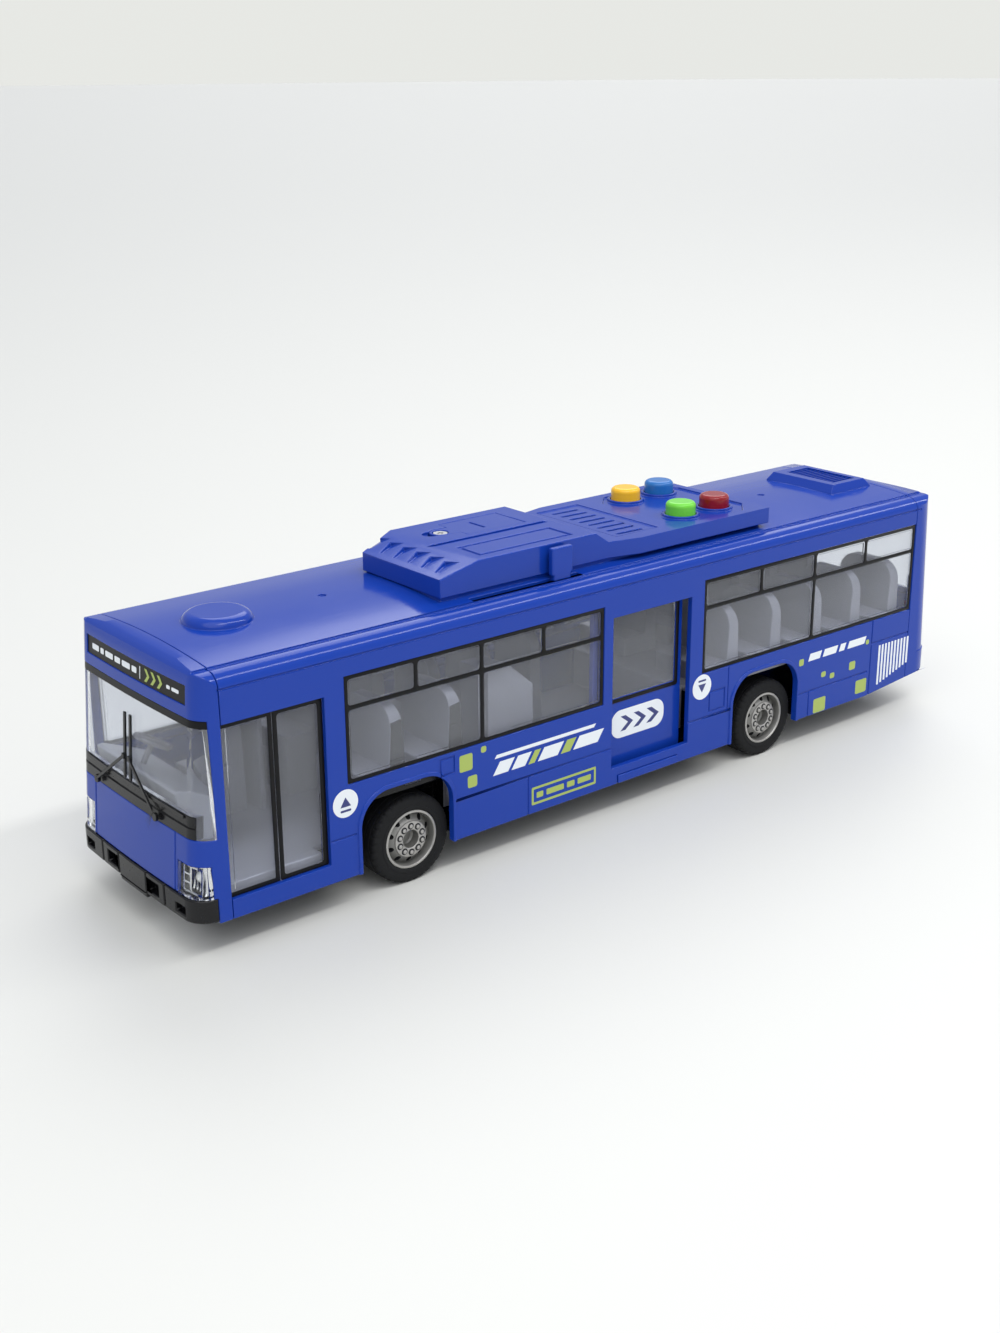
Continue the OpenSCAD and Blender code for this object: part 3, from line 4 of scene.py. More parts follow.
import bmesh
import bpy
from mathutils import Matrix, Vector


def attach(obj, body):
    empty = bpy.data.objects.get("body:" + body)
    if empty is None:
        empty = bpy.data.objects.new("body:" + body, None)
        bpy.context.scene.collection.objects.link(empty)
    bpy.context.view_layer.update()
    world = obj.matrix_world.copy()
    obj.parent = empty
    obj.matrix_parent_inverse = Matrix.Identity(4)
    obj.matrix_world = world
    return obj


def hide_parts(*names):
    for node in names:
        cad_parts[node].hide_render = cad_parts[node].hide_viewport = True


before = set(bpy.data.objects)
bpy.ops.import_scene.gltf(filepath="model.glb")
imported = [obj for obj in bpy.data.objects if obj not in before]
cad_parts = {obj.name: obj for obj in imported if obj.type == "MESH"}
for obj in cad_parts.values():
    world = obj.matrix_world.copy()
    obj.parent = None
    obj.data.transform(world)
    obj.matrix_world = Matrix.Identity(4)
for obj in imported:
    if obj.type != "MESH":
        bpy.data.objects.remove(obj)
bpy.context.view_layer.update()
MM = 0.001

# Blue mouldings: the shell with its roof and vent, both end caps, the step, the sliding leaf, the lever and the pod.
# They are injection moulded in glossy plastic coloured right through, screwed from below, glued at the seams.
# Every outer edge of the tool is broken by a small radius, which is what catches the light.


def new_group(name, inputs, outputs):
    """Empty shader group with named sockets; returns the tree, its input node and its output node."""
    tree = bpy.data.node_groups.new(name, "ShaderNodeTree")
    for label, kind, value in inputs:
        tree.interface.new_socket(label, in_out="INPUT", socket_type=kind).default_value = value
    for label, kind in outputs:
        tree.interface.new_socket(label, in_out="OUTPUT", socket_type=kind)
    return tree, tree.nodes.new("NodeGroupInput"), tree.nodes.new("NodeGroupOutput")


def node_with(tree, kind, **values):
    """Adds a node, sets its properties and its unlinked inputs, and returns it."""
    made = tree.nodes.new(kind)
    for label, value in values.items():
        if label in made.inputs:
            made.inputs[label].default_value = value
        else:
            setattr(made, label, value)
    return made


def build_moulded_skin():
    """Faint flow marks, hairline rubs, a painted highlight that lightens the outer edges, and a fine orange-peel for
    moulded plastic.
    """
    tree, given, out = new_group(
        "moulded_skin",
        [("Colour", "NodeSocketColor", (0.5, 0.5, 0.5, 1)), ("Roughness", "NodeSocketFloat", 0.3),
         ("Grain Scale", "NodeSocketFloat", 900.0), ("Grain Depth", "NodeSocketFloat", 0.05),
         ("Edge Highlight", "NodeSocketFloat", 0.1), ("Flow", "NodeSocketFloat", 0.06)],
        [("Colour", "NodeSocketColor"), ("Roughness", "NodeSocketFloat"), ("Normal", "NodeSocketVector")])
    link = tree.links.new
    place = node_with(tree, "ShaderNodeTexCoord")
    flow = node_with(tree, "ShaderNodeTexNoise", Scale=70.0, Detail=4.0, Roughness=0.6)
    link(place.outputs["Object"], flow.inputs["Vector"])
    stretch = node_with(tree, "ShaderNodeMapping")
    stretch.inputs["Scale"].default_value = (90, 1200, 1200)
    link(place.outputs["Object"], stretch.inputs["Vector"])
    rubs = node_with(tree, "ShaderNodeTexNoise", Scale=1.0, Detail=3.0, Roughness=0.7)
    link(stretch.outputs["Vector"], rubs.inputs["Vector"])
    rub_mask = node_with(tree, "ShaderNodeMapRange")
    rub_mask.inputs["From Min"].default_value = 0.56
    rub_mask.inputs["From Max"].default_value = 0.78
    link(rubs.outputs["Fac"], rub_mask.inputs["Value"])
    grain = node_with(tree, "ShaderNodeTexNoise", Detail=2.0)
    link(place.outputs["Object"], grain.inputs["Vector"])
    link(given.outputs["Grain Scale"], grain.inputs["Scale"])
    # Painted highlight: pointiness finds the outer edges, and the edge amount lightens the colour there as if light
    # caught them.
    shape = node_with(tree, "ShaderNodeNewGeometry")
    edge = node_with(tree, "ShaderNodeMapRange")
    edge.inputs["From Min"].default_value = 0.53
    edge.inputs["From Max"].default_value = 0.66
    link(shape.outputs["Pointiness"], edge.inputs["Value"])
    edge_highlight_amount = node_with(tree, "ShaderNodeMath", operation="MULTIPLY")
    link(edge.outputs["Result"], edge_highlight_amount.inputs[0])
    link(given.outputs["Edge Highlight"], edge_highlight_amount.inputs[1])
    swing = node_with(tree, "ShaderNodeMath", operation="MULTIPLY_ADD")
    link(flow.outputs["Fac"], swing.inputs[0])
    link(given.outputs["Flow"], swing.inputs[1])
    link(edge_highlight_amount.outputs["Value"], swing.inputs[2])
    colour_a, colour_b, colour_out = 6, 7, 2
    tint = node_with(tree, "ShaderNodeMix", data_type="RGBA", blend_type="MIX")
    link(swing.outputs["Value"], tint.inputs["Factor"])
    link(given.outputs["Colour"], tint.inputs[colour_a])
    tint.inputs[colour_b].default_value = (0.75, 0.78, 0.85, 1)
    link(tint.outputs[colour_out], out.inputs["Colour"])
    dull = node_with(tree, "ShaderNodeMath", operation="MULTIPLY_ADD")
    link(rub_mask.outputs["Result"], dull.inputs[0])
    dull.inputs[1].default_value = 0.12
    link(given.outputs["Roughness"], dull.inputs[2])
    duller = node_with(tree, "ShaderNodeMath", operation="MULTIPLY_ADD")
    link(flow.outputs["Fac"], duller.inputs[0])
    duller.inputs[1].default_value = 0.08
    link(dull.outputs["Value"], duller.inputs[2])
    link(duller.outputs["Value"], out.inputs["Roughness"])
    bump = node_with(tree, "ShaderNodeBump", Distance=0.0002)
    link(grain.outputs["Fac"], bump.inputs["Height"])
    link(given.outputs["Grain Depth"], bump.inputs["Strength"])
    link(bump.outputs["Normal"], out.inputs["Normal"])
    return tree


moulded_skin = build_moulded_skin()


def skinned(name, colour, roughness, grain, depth, edge_highlight, flow):
    """A material whose shader takes its varying inputs from the shared skin; returns it, its tree and its shader."""
    material = bpy.data.materials.new(name)
    material.use_nodes = True
    tree = material.node_tree
    shader = tree.nodes["Principled BSDF"]
    skin = tree.nodes.new("ShaderNodeGroup")
    skin.node_tree = moulded_skin
    for label, value in (("Colour", (*colour, 1)), ("Roughness", roughness), ("Grain Scale", grain),
                         ("Grain Depth", depth), ("Edge Highlight", edge_highlight), ("Flow", flow)):
        skin.inputs[label].default_value = value
    for label, socket in (("Colour", "Base Color"), ("Roughness", "Roughness"), ("Normal", "Normal")):
        tree.links.new(skin.outputs[label], shader.inputs[socket])
    return material, tree, shader


def plastic(name, colour, roughness, grain=900.0, depth=0.05, edge_highlight=0.1, flow=0.06, metallic=0.0, shine=0.5):
    """A moulded plastic finish with the shared skin."""
    material, _, shader = skinned(name, colour, roughness, grain, depth, edge_highlight, flow)
    shader.inputs["Metallic"].default_value = metallic
    shader.inputs["Specular IOR Level"].default_value = shine
    return material


def add_piece(name, mesh, material, body):
    """Puts a finished mesh in the scene on a body."""
    piece = bpy.data.objects.new(name, mesh)
    bpy.context.scene.collection.objects.link(piece)
    mesh.materials.clear()
    mesh.materials.append(material)
    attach(piece, body)
    return piece


def shade(mesh, angle):
    """Smooth shading, with the edges that turn by more than an angle in degrees kept sharp."""
    if "custom_normal" in mesh.attributes:
        mesh.attributes.remove(mesh.attributes["custom_normal"])
    mesh.shade_smooth()
    mesh.set_sharp_from_angle(angle=math.radians(angle))


def moulded(node, material, edge, body="bus", segments=2):
    """A copy of a frame node with its edges rounded, in place of the node."""
    corner = 32
    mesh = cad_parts[node].data.copy()
    shape = bmesh.new()
    shape.from_mesh(mesh)
    bmesh.ops.remove_doubles(shape, verts=shape.verts, dist=1e-6)
    bmesh.ops.dissolve_limit(shape, angle_limit=math.radians(0.15), verts=shape.verts, edges=shape.edges)
    shape.to_mesh(mesh)
    shape.free()
    shade(mesh, corner)
    piece = add_piece(node + "_moulding", mesh, material, body)
    bevel = piece.modifiers.new("broken_edges", "BEVEL")
    bevel.width = edge * MM
    bevel.segments = segments
    bevel.limit_method = "ANGLE"
    bevel.angle_limit = math.radians(corner)
    bevel.use_clamp_overlap = False
    soften = piece.modifiers.new("flat_faces", "WEIGHTED_NORMAL")
    soften.keep_sharp = True
    soften.weight = 100
    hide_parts(node)
    return piece


body_blue = plastic("body_blue", (0.004, 0.040, 0.34), 0.1, grain=420.0, depth=0.01, edge_highlight=0.0, flow=0.006,
                    shine=0.3)
for part in ("body_shell", "front_fascia", "rear_fascia", "step_bar"):
    moulded(part, body_blue, 0.16)
moulded("roof_pod", body_blue, 0.3, segments=3)
moulded("battery_door", body_blue, 0.2)
moulded("door_leaf", body_blue, 0.25, body="door")
moulded("door_lever", body_blue, 0.55, body="door", segments=4)

VENT_X, VENT_Y0, VENT_Z, VENT_PITCH, VENT_COUNT = -115.3, -8.75, 75.9, 1.68, 12
VENT_BAR, VENT_EDGE = (10.3, 0.55, 0.7), 0.12
vent_bars = bmesh.new()
for k in range(VENT_COUNT):
    bar = bmesh.ops.create_cube(vent_bars, size=1.0)["verts"]
    bmesh.ops.scale(vent_bars, verts=bar, vec=VENT_BAR)
    bmesh.ops.translate(vent_bars, verts=bar, vec=(VENT_X, VENT_Y0 + VENT_PITCH * k, VENT_Z))
bmesh.ops.bevel(vent_bars, geom=vent_bars.edges[:], offset=VENT_EDGE, segments=2, affect="EDGES")
bmesh.ops.scale(vent_bars, verts=vent_bars.verts, vec=(MM, MM, MM))
grille_mesh = bpy.data.meshes.new("vent_grille")
vent_bars.to_mesh(grille_mesh)
vent_bars.free()
add_piece("vent_grille", grille_mesh, body_blue, "bus")

# Clear mouldings: side windows, door glass, windscreen, rear window and headlamp lenses.
# They are crystal polystyrene with a polished face, and they push in from behind against a flange.
# A little grey in the plastic and fine rubs on its face keep it from looking like empty air.


def clear_plastic(name, tint, roughness, clarity):
    """See-through plastic that lets lamp light reach what is behind it."""
    material, tree, shader = skinned(name, tint, roughness, grain=260.0, depth=0.01, edge_highlight=0.0, flow=0.02)
    shader.inputs["Transmission Weight"].default_value = clarity
    shader.inputs["IOR"].default_value = 1.2
    path = tree.nodes.new("ShaderNodeLightPath")
    film = tree.nodes.new("ShaderNodeBsdfTransparent")
    film.inputs["Color"].default_value = (*tint, 1)
    mix = tree.nodes.new("ShaderNodeMixShader")
    tree.links.new(path.outputs["Is Shadow Ray"], mix.inputs["Fac"])
    tree.links.new(shader.outputs["BSDF"], mix.inputs[1])
    tree.links.new(film.outputs["BSDF"], mix.inputs[2])
    tree.links.new(mix.outputs["Shader"], tree.nodes["Material Output"].inputs["Surface"])
    return material


def finish(material, *nodes):
    """Gives frame nodes whose shape is right a finish."""
    for node in nodes:
        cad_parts[node].data.materials.clear()
        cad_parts[node].data.materials.append(material)


window_clear = clear_plastic("window_clear", (0.84, 0.86, 0.90), 0.03, 0.93)
lens_clear = clear_plastic("lens_clear", (0.95, 0.96, 0.97), 0.01, 1.0)
finish(window_clear, "left_front_glazing", "left_rear_glazing", "right_glazing", "front_door_glazing",
       "windshield", "rear_window", "door_glass")
finish(lens_clear, "headlamp_left", "headlamp_right")

# Black window trim: the frames, transoms and bars printed on the clear windows and doors.
# On the real toy they are black paint on the raised bars of each clear insert, and have no fixing of their own.
# Here each frame is one thin plate with a hole for every pane.


def rounded(x0, x1, z0, z1, r, steps=5):
    """Rectangle with round corners, as a loop of points in millimetres."""
    loop = []
    corners = ((x1 - r, z1 - r, 0), (x0 + r, z1 - r, 90), (x0 + r, z0 + r, 180), (x1 - r, z0 + r, 270))
    for cx, cz, start in corners:
        for k in range(steps + 1):
            a = math.radians(start + 90 * k / steps)
            loop.append((cx + r * math.cos(a), cz + r * math.sin(a)))
    return loop


def cut_plate(loops, thick, edge):
    """A flat plate in X and Y, in millimetres, with the first loop as its outline and the others as holes."""
    curve = bpy.data.curves.new("plate_outline", "CURVE")
    curve.dimensions = "2D"
    curve.fill_mode = "BOTH"
    curve.extrude = thick / 2 - edge
    curve.bevel_depth = edge
    curve.bevel_resolution = 1
    curve.offset = -edge
    for loop in loops:
        line = curve.splines.new("POLY")
        line.points.add(len(loop) - 1)
        for point, (x, y) in zip(line.points, loop):
            point.co = (x, y, 0, 1)
        line.use_cyclic_u = True
    holder = bpy.data.objects.new("plate_outline", curve)
    bpy.context.scene.collection.objects.link(holder)
    mesh = bpy.data.meshes.new_from_object(holder.evaluated_get(bpy.context.evaluated_depsgraph_get()))
    bpy.data.objects.remove(holder)
    bpy.data.curves.remove(curve)
    shape = bmesh.new()
    shape.from_mesh(mesh)
    bmesh.ops.remove_doubles(shape, verts=shape.verts, dist=1e-4)
    shape.to_mesh(mesh)
    shape.free()
    return mesh


def side_plate(name, loops, y, thick, edge, material, side=1, body="bus"):
    """A plate on the door side (1) or the far side (-1), from loops of X and Z in millimetres."""
    mesh = cut_plate([[(-side * x, z) for x, z in loop] for loop in loops], thick, edge)
    turn = Matrix(((-side, 0, 0, 0), (0, 0, side, y * side), (0, 1, 0, 0), (0, 0, 0, 1)))
    mesh.transform(Matrix.Scale(MM, 4) @ turn)
    shade(mesh, 35)
    return add_piece(name, mesh, material, body)


def window_loops(x0, x1, low_panes, high_panes):
    """Outline of a side window's frame, and its panes."""
    low, split, high, bar, inset = 34.9, 55.2, 63.9, 1.15, 0.15
    loops = [rounded(x0 + inset, x1 - inset, low + inset, high - inset, 0.3)]
    for count, z0, z1 in ((low_panes, low + bar, split - bar / 2), (high_panes, split + bar / 2, high - bar)):
        step = (x1 - x0 - bar) / count
        for k in range(count):
            loops.append(rounded(x0 + bar + k * step, x0 + (k + 1) * step, z0, z1, 0.9))
    return loops


print_black = plastic("print_black", (0.003, 0.003, 0.004), 0.3, grain=1500.0, depth=0.03, edge_highlight=0.0, flow=0.003,
                      shine=0.18)
WINDOW_Y, FRONT_LEAF_Y, MIDDLE_LEAF_Y = 31.63, 30.83, 28.69
FRAME_THICK, LEAF_THICK, FRAME_EDGE = 0.22, 0.18, 0.05
for label, side, x0, x1, low_panes, high_panes in (
        ("left_front_frame", 1, 10.4, 97.3, 2, 4), ("left_rear_frame", 1, -126.9, -29.1, 2, 4),
        ("right_driver_frame", -1, 103.2, 131.9, 1, 2), ("right_front_frame", -1, 10.4, 97.3, 2, 4),
        ("right_middle_frame", -1, -23.9, 7.0, 1, 1), ("right_rear_frame", -1, -126.9, -29.1, 2, 4)):
    side_plate(label, window_loops(x0, x1, low_panes, high_panes), WINDOW_Y, FRAME_THICK, FRAME_EDGE, print_black,
               side)
FOOT, PANE_FOOT, PANE_HEAD, HEAD, FRONT_X = 14.55, 15.7, 58.6, 59.75, 131.75
side_plate("front_door_rear_leaf",
           [rounded(103.35, 117.5, FOOT, HEAD, 0.4), rounded(104.7, 116.3, PANE_FOOT, PANE_HEAD, 0.9)],
           FRONT_LEAF_Y, FRAME_THICK, FRAME_EDGE, print_black)
side_plate("front_door_front_leaf",
           [[(FRONT_X, FOOT), (FRONT_X, PANE_FOOT), (118.9, PANE_FOOT), (118.9, PANE_HEAD), (FRONT_X, PANE_HEAD),
             (FRONT_X, HEAD), (117.75, HEAD), (117.75, FOOT)]],
           FRONT_LEAF_Y, FRAME_THICK, FRAME_EDGE, print_black)
side_plate("middle_door_frame", [rounded(-22.0, 7.8, 32.7, 59.7, 0.8), rounded(-20.8, 6.6, 33.9, 58.5, 0.9)],
           MIDDLE_LEAF_Y, LEAF_THICK, FRAME_EDGE, print_black, body="door")


def screen_band(name, node, z0, lift, material):
    """The black print along the top of a screen: the top of the screen's own skin, a hair thicker."""
    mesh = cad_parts[node].data.copy()
    shape = bmesh.new()
    shape.from_mesh(mesh)
    bmesh.ops.remove_doubles(shape, verts=shape.verts, dist=1e-6)
    whole = shape.verts[:] + shape.edges[:] + shape.faces[:]
    bmesh.ops.bisect_plane(shape, geom=whole, plane_co=(0, 0, z0 * MM), plane_no=(0, 0, 1), clear_inner=True)
    bmesh.ops.holes_fill(shape, edges=[e for e in shape.edges if e.is_boundary])
    shape.normal_update()
    for vert in shape.verts:
        vert.co += vert.normal * lift * MM
    shape.to_mesh(mesh)
    shape.free()
    shade(mesh, 30)
    return add_piece(name, mesh, material, "bus")


BAND_FOOT, BAND_LIFT = 59.3, 0.03
screen_band("windscreen_band", "windshield", BAND_FOOT, BAND_LIFT, print_black)

# Black mouldings at the front: the bumper with its pockets, the cowl strip and the two wipers.
# They are black polystyrene with a satin tool finish, pushed into the fascia from the front.
trim_black = plastic("trim_black", (0.004, 0.004, 0.005), 0.2, grain=1800.0, depth=0.05, edge_highlight=0.0, flow=0.004,
                     shine=0.32)
moulded("front_bumper", trim_black, 0.3)
moulded("wiper_cowl", trim_black, 0.12)
moulded("wipers", trim_black, 0.1)

# Destination sign: a black panel in a shallow recess over the windscreen, with plain printed marks.
# The marks are dashes and arrows that stand for any route, printed flat on the panel.
NOSE_X, BOW, LEAN, PIVOT_Z = 141.9, 600.0, math.radians(4.6), 15.8
SIGN_Z, SIGN_LIFT, INK = 66.65, -0.24, 0.06
finish(print_black, "destination_sign")


def on_nose(y, z, lift):
    """Point on the leaning, bowed front face at a distance outside it, in millimetres."""
    dx = math.sqrt((BOW + lift) ** 2 - y * y) - BOW
    dz = (z - PIVOT_Z - dx * math.sin(LEAN)) / math.cos(LEAN)
    return (NOSE_X + dx * math.cos(LEAN) - dz * math.sin(LEAN), y, z)


def nose_plate(name, loops, lift, material):
    """A thin print on the front face, from loops of Y and Z in millimetres."""
    mesh = cut_plate(loops, INK, 0.0)
    for vert in mesh.vertices:
        y, z, up = vert.co
        vert.co = Vector(on_nose(y, z, lift + up)) * MM
    return add_piece(name, mesh, material, "bus")


def printed(name, colour, roughness=0.35):
    """Pad-printed ink: even colour with a faint screen of pinholes."""
    return plastic(name, colour, roughness, grain=4000.0, depth=0.05, edge_highlight=0.0, flow=0.05)


print_white = printed("print_white", (0.78, 0.82, 0.86))
print_lime = printed("print_lime", (0.36, 0.46, 0.085))
print_navy = printed("print_navy", (0.012, 0.022, 0.16))
for k, (y0, y1) in enumerate(((-22.4, -18.6), (-17.6, -15.8), (-14.8, -10.6), (-9.6, -6.6), (-5.6, -1.4),
                              (-0.4, 2.0), (16.6, 18.2), (19.0, 22.2))):
    half = 0.75 if y0 < 10 else 0.45
    nose_plate(f"sign_dash_{k}", [rounded(y0, y1, SIGN_Z - half, SIGN_Z + half, 0.3)], SIGN_LIFT, print_white)
ARROW_HALF, ARROW_Y0, ARROW_PITCH = 1.6, 6.0, 3.1
low, high = SIGN_Z - ARROW_HALF, SIGN_Z + ARROW_HALF
nose_plate("sign_divider", [rounded(3.6, 3.9, low, high, 0.1)], SIGN_LIFT, print_white)
for k in range(3):
    y = ARROW_Y0 + ARROW_PITCH * k
    arrow = [(y, low), (y + 1.1, low), (y + 2.5, SIGN_Z), (y + 1.1, high), (y, high), (y + 1.4, SIGN_Z)]
    nose_plate(f"sign_arrow_{k}", [arrow], SIGN_LIFT, print_lime)

# Headlamps: clear faceted lenses with a bright reflector and a small white lamp behind each.
# The reflector is a vacuum-plated cup clipped to the wall behind the lens, with a plated bezel in front of it.


def closed_mesh(name, verts, faces, angle):
    """A mesh from points in metres, with its faces turned outward."""
    mesh = bpy.data.meshes.new(name)
    mesh.from_pydata(verts, [], faces)
    shape = bmesh.new()
    shape.from_mesh(mesh)
    bmesh.ops.recalc_face_normals(shape, faces=shape.faces)
    shape.to_mesh(mesh)
    shape.free()
    shade(mesh, angle)
    return mesh


def reflector(name, side, material):
    """A ribbed cup round the lamp at one side."""
    lamp_y, lamp_z, lamp_r, back_x = 26.0, 20.1, 1.6, 136.9
    y0, y1, z0, z1 = 22.4, 29.4, 16.3, 24.0
    wall, rise, curve, flute_h, flute_w = 0.2, 1.1, 0.06, 0.12, 1.4
    columns, rows = 28, 20
    verts, faces = [], []
    for i in range(columns + 1):
        y = y0 + (y1 - y0) * i / columns
        for j in range(rows + 1):
            z = z0 + (z1 - z0) * j / rows
            d = math.hypot(y - lamp_y, z - lamp_z)
            flute = flute_h * abs(math.sin(math.pi * (y - y0) / flute_w))
            x = back_x + wall + min(rise, curve * max(0.0, d - lamp_r) ** 2) + flute
            verts.append((x * MM, side * y * MM, z * MM))
    back = len(verts)
    for i in (0, columns):
        for j in (0, rows):
            x, y, z = verts[i * (rows + 1) + j]
            verts.append((back_x * MM, y, z))
    for i in range(columns):
        for j in range(rows):
            a = i * (rows + 1) + j
            quad = (a, a + 1, a + rows + 2, a + rows + 1)
            faces.append(quad if side < 0 else quad[::-1])
    edge_a = list(range(rows + 1))
    edge_b = [columns * (rows + 1) + j for j in range(rows + 1)]
    edge_c = [i * (rows + 1) for i in range(columns + 1)]
    edge_d = [i * (rows + 1) + rows for i in range(columns + 1)]
    faces += [edge_a + [back + 1, back], edge_b[::-1] + [back + 2, back + 3], edge_c[::-1] + [back, back + 2],
              edge_d + [back + 3, back + 1], [back, back + 1, back + 3, back + 2]]
    return add_piece(name, closed_mesh(name, verts, faces, 40), material, "bus")


plated = plastic("plated_reflector", (0.78, 0.79, 0.8), 0.12, grain=900.0, depth=0.02, edge_highlight=0.0, flow=0.02,
                 metallic=1.0)
BEZEL_LIFT = -1.9
reflector("reflector_left", 1, plated)
reflector("reflector_right", -1, plated)
for label, side in (("left", 1), ("right", -1)):
    panes = [rounded(22.9, 30.4, 16.5, 23.8, 0.4), rounded(26.0, 29.8, 17.1, 23.2, 0.4)]
    panes += [rounded(23.4, 25.4, z, z + 1.8, 0.3) for z in (17.0, 19.2, 21.4)]
    nose_plate(f"{label}_lamp_bezel", [[(side * y, z) for y, z in loop] for loop in panes], BEZEL_LIFT, plated)
lamp_white = plastic("lamp_white", (0.85, 0.86, 0.84), 0.25, depth=0.02, edge_highlight=0.0)
finish(lamp_white, "headlamp_leds")

# Tail lamps: one red block at each side of the rear fascia, moulded in red plastic.
# They are glued into pockets of the fascia.
lamp_red = plastic("lamp_red", (0.42, 0.012, 0.012), 0.14, grain=400.0, depth=0.05, edge_highlight=0.05)
moulded("tail_lamps", lamp_red, 0.15)

# Prints on the sides: white and lime ink, pad printed on the blue wall and on the sliding leaf.
# Round stickers with an arrow mark the two doors, and bars, squares and slanted stripes fill the wall.
WALL_Y, LEAF_Y, PRINT_LIFT, LAYER = 32.0, 28.6, 0.01, 0.03


def disc(cx, cz, r, steps=48):
    """Circle as a loop of points."""
    return [(cx + r * math.cos(2 * math.pi * k / steps), cz + r * math.sin(2 * math.pi * k / steps))
            for k in range(steps)]


def wall_print(name, loops, material, side=1, layer=0):
    """A print on the side wall, each layer a hair over the one below."""
    return side_plate(name, loops, WALL_Y + PRINT_LIFT + LAYER * layer, INK, 0.0, material, side)


def slanted(x0, x1, z0, z1, lean):
    """Stripe with slanted ends; a larger X is nearer the front."""
    return [(x0, z0), (x1, z0), (x1 + lean, z1), (x0 + lean, z1)]


for side, label in ((1, "left"), (-1, "right")):
    door_discs = ((98.3, 30.2, 3.8, 1), (-29.2, 30.9, 3.9, -1)) if side > 0 else ()
    for k, (x, z, r, up) in enumerate(door_discs):
        x0, x1, bar_z = x - 1.6, x + 1.6, z - 2.0 * up
        arrow = [(x0, z - 0.9 * up), (x1, z - 0.9 * up), (x, z + 1.7 * up)]
        wall_print(f"{label}_door_disc_{k}", [disc(x, z, r)], print_white, side)
        wall_print(f"{label}_door_arrow_{k}", [arrow], print_navy, side, 1)
        wall_print(f"{label}_door_bar_{k}", [rounded(x0, x1, bar_z - 0.3, bar_z + 0.3, 0.25)], print_navy, side, 1)
    squares = ((59.8, 30.8, 2.2, 2.4), (53.8, 33.1, 0.9, 0.9), (57.7, 24.9, 1.6, 1.7), (-83.5, 11.9, 2.9, 2.4),
               (-103.9, 13.4, 2.7, 2.3), (-98.8, 21.7, 1.5, 1.4), (-73.7, 28.4, 1.1, 1.1), (-84.7, 22.0, 1.1, 0.9),
               (-89.0, 20.6, 1.1, 0.9), (-105.8, 28.2, 0.8, 0.8))
    for k, (x, z, w, h) in enumerate(squares):
        wall_print(f"{label}_square_{k}", [rounded(x - w, x + w, z - h, z + h, 0.6)], print_lime, side)
    for k in range(10):
        x = -112.4 - 1.62 * k
        z0 = 11.9 + 0.49 * k
        wall_print(f"{label}_bar_{k}", [rounded(x - 0.45, x + 0.45, z0, 25.6, 0.15)], print_white, side)
    stripes = ((50.6, 45.4, print_white), (44.2, 39.4, print_white), (38.2, 36.0, print_lime),
               (34.8, 27.6, print_white), (26.4, 23.0, print_lime), (21.8, 12.6, print_white))
    for k, (x1, x0, colour) in enumerate(stripes):
        wall_print(f"{label}_stripe_{k}", [slanted(x0, x1, 24.4, 28.0, -2.4)], colour, side)
    wall_print(f"{label}_stripe_line", [slanted(14.0, 50.0, 29.2, 30.2, -0.7)], print_white, side)
    wall_print(f"{label}_box", [rounded(13.1, 37.0, 11.7, 17.0, 0.4), rounded(13.8, 36.3, 12.4, 16.3, 0.2)],
               print_lime, side)
    for k, (x0, x1) in enumerate(((15.0, 20.0), (21.2, 24.0), (25.2, 31.6), (32.8, 35.2))):
        wall_print(f"{label}_box_bar_{k}", [rounded(x0, x1, 13.5, 15.2, 0.3)], print_lime, side)
    for k, (x0, x1) in enumerate(((-82.4, -76.9), (-90.2, -83.8), (-94.2, -91.6), (-104.2, -95.8))):
        wall_print(f"{label}_dash_{k}", [slanted(x0, x1, 28.0, 30.4, -0.9)], print_white, side)
leaf_y = LEAF_Y + PRINT_LIFT
pill = rounded(-16.8, 4.2, 21.4, 30.0, 3.6, 10)
side_plate("door_pill", [pill], leaf_y, INK, 0.0, print_white, 1, "door")
low, middle, high = 23.4, 25.7, 28.0
for k in range(3):
    x = 0.6 - 5.2 * k
    chevron = [(x, low), (x - 2.0, low), (x - 5.0, middle), (x - 2.0, high), (x, high), (x - 3.0, middle)]
    side_plate(f"door_chevron_{k}", [chevron], leaf_y + LAYER, INK, 0.0, print_navy, 1, "door")

# Tyres: soft black rubber rings with three grooves and notched shoulders, stretched over the hubs.
# Fine dust in the pores keeps them matt.
tyre_black = plastic("tyre_black", (0.008, 0.0083, 0.009), 0.7, grain=2600.0, depth=0.35, edge_highlight=0.0, flow=0.008,
                     shine=0.2)
WHEEL_R, TYRE_W, RIM_R, WHEEL_OUT, AXLE_Z = 12.4, 9.0, 8.3, 29.4, 12.4
FRONT_AXLE_X, REAR_AXLE_X = 76.1, -60.4


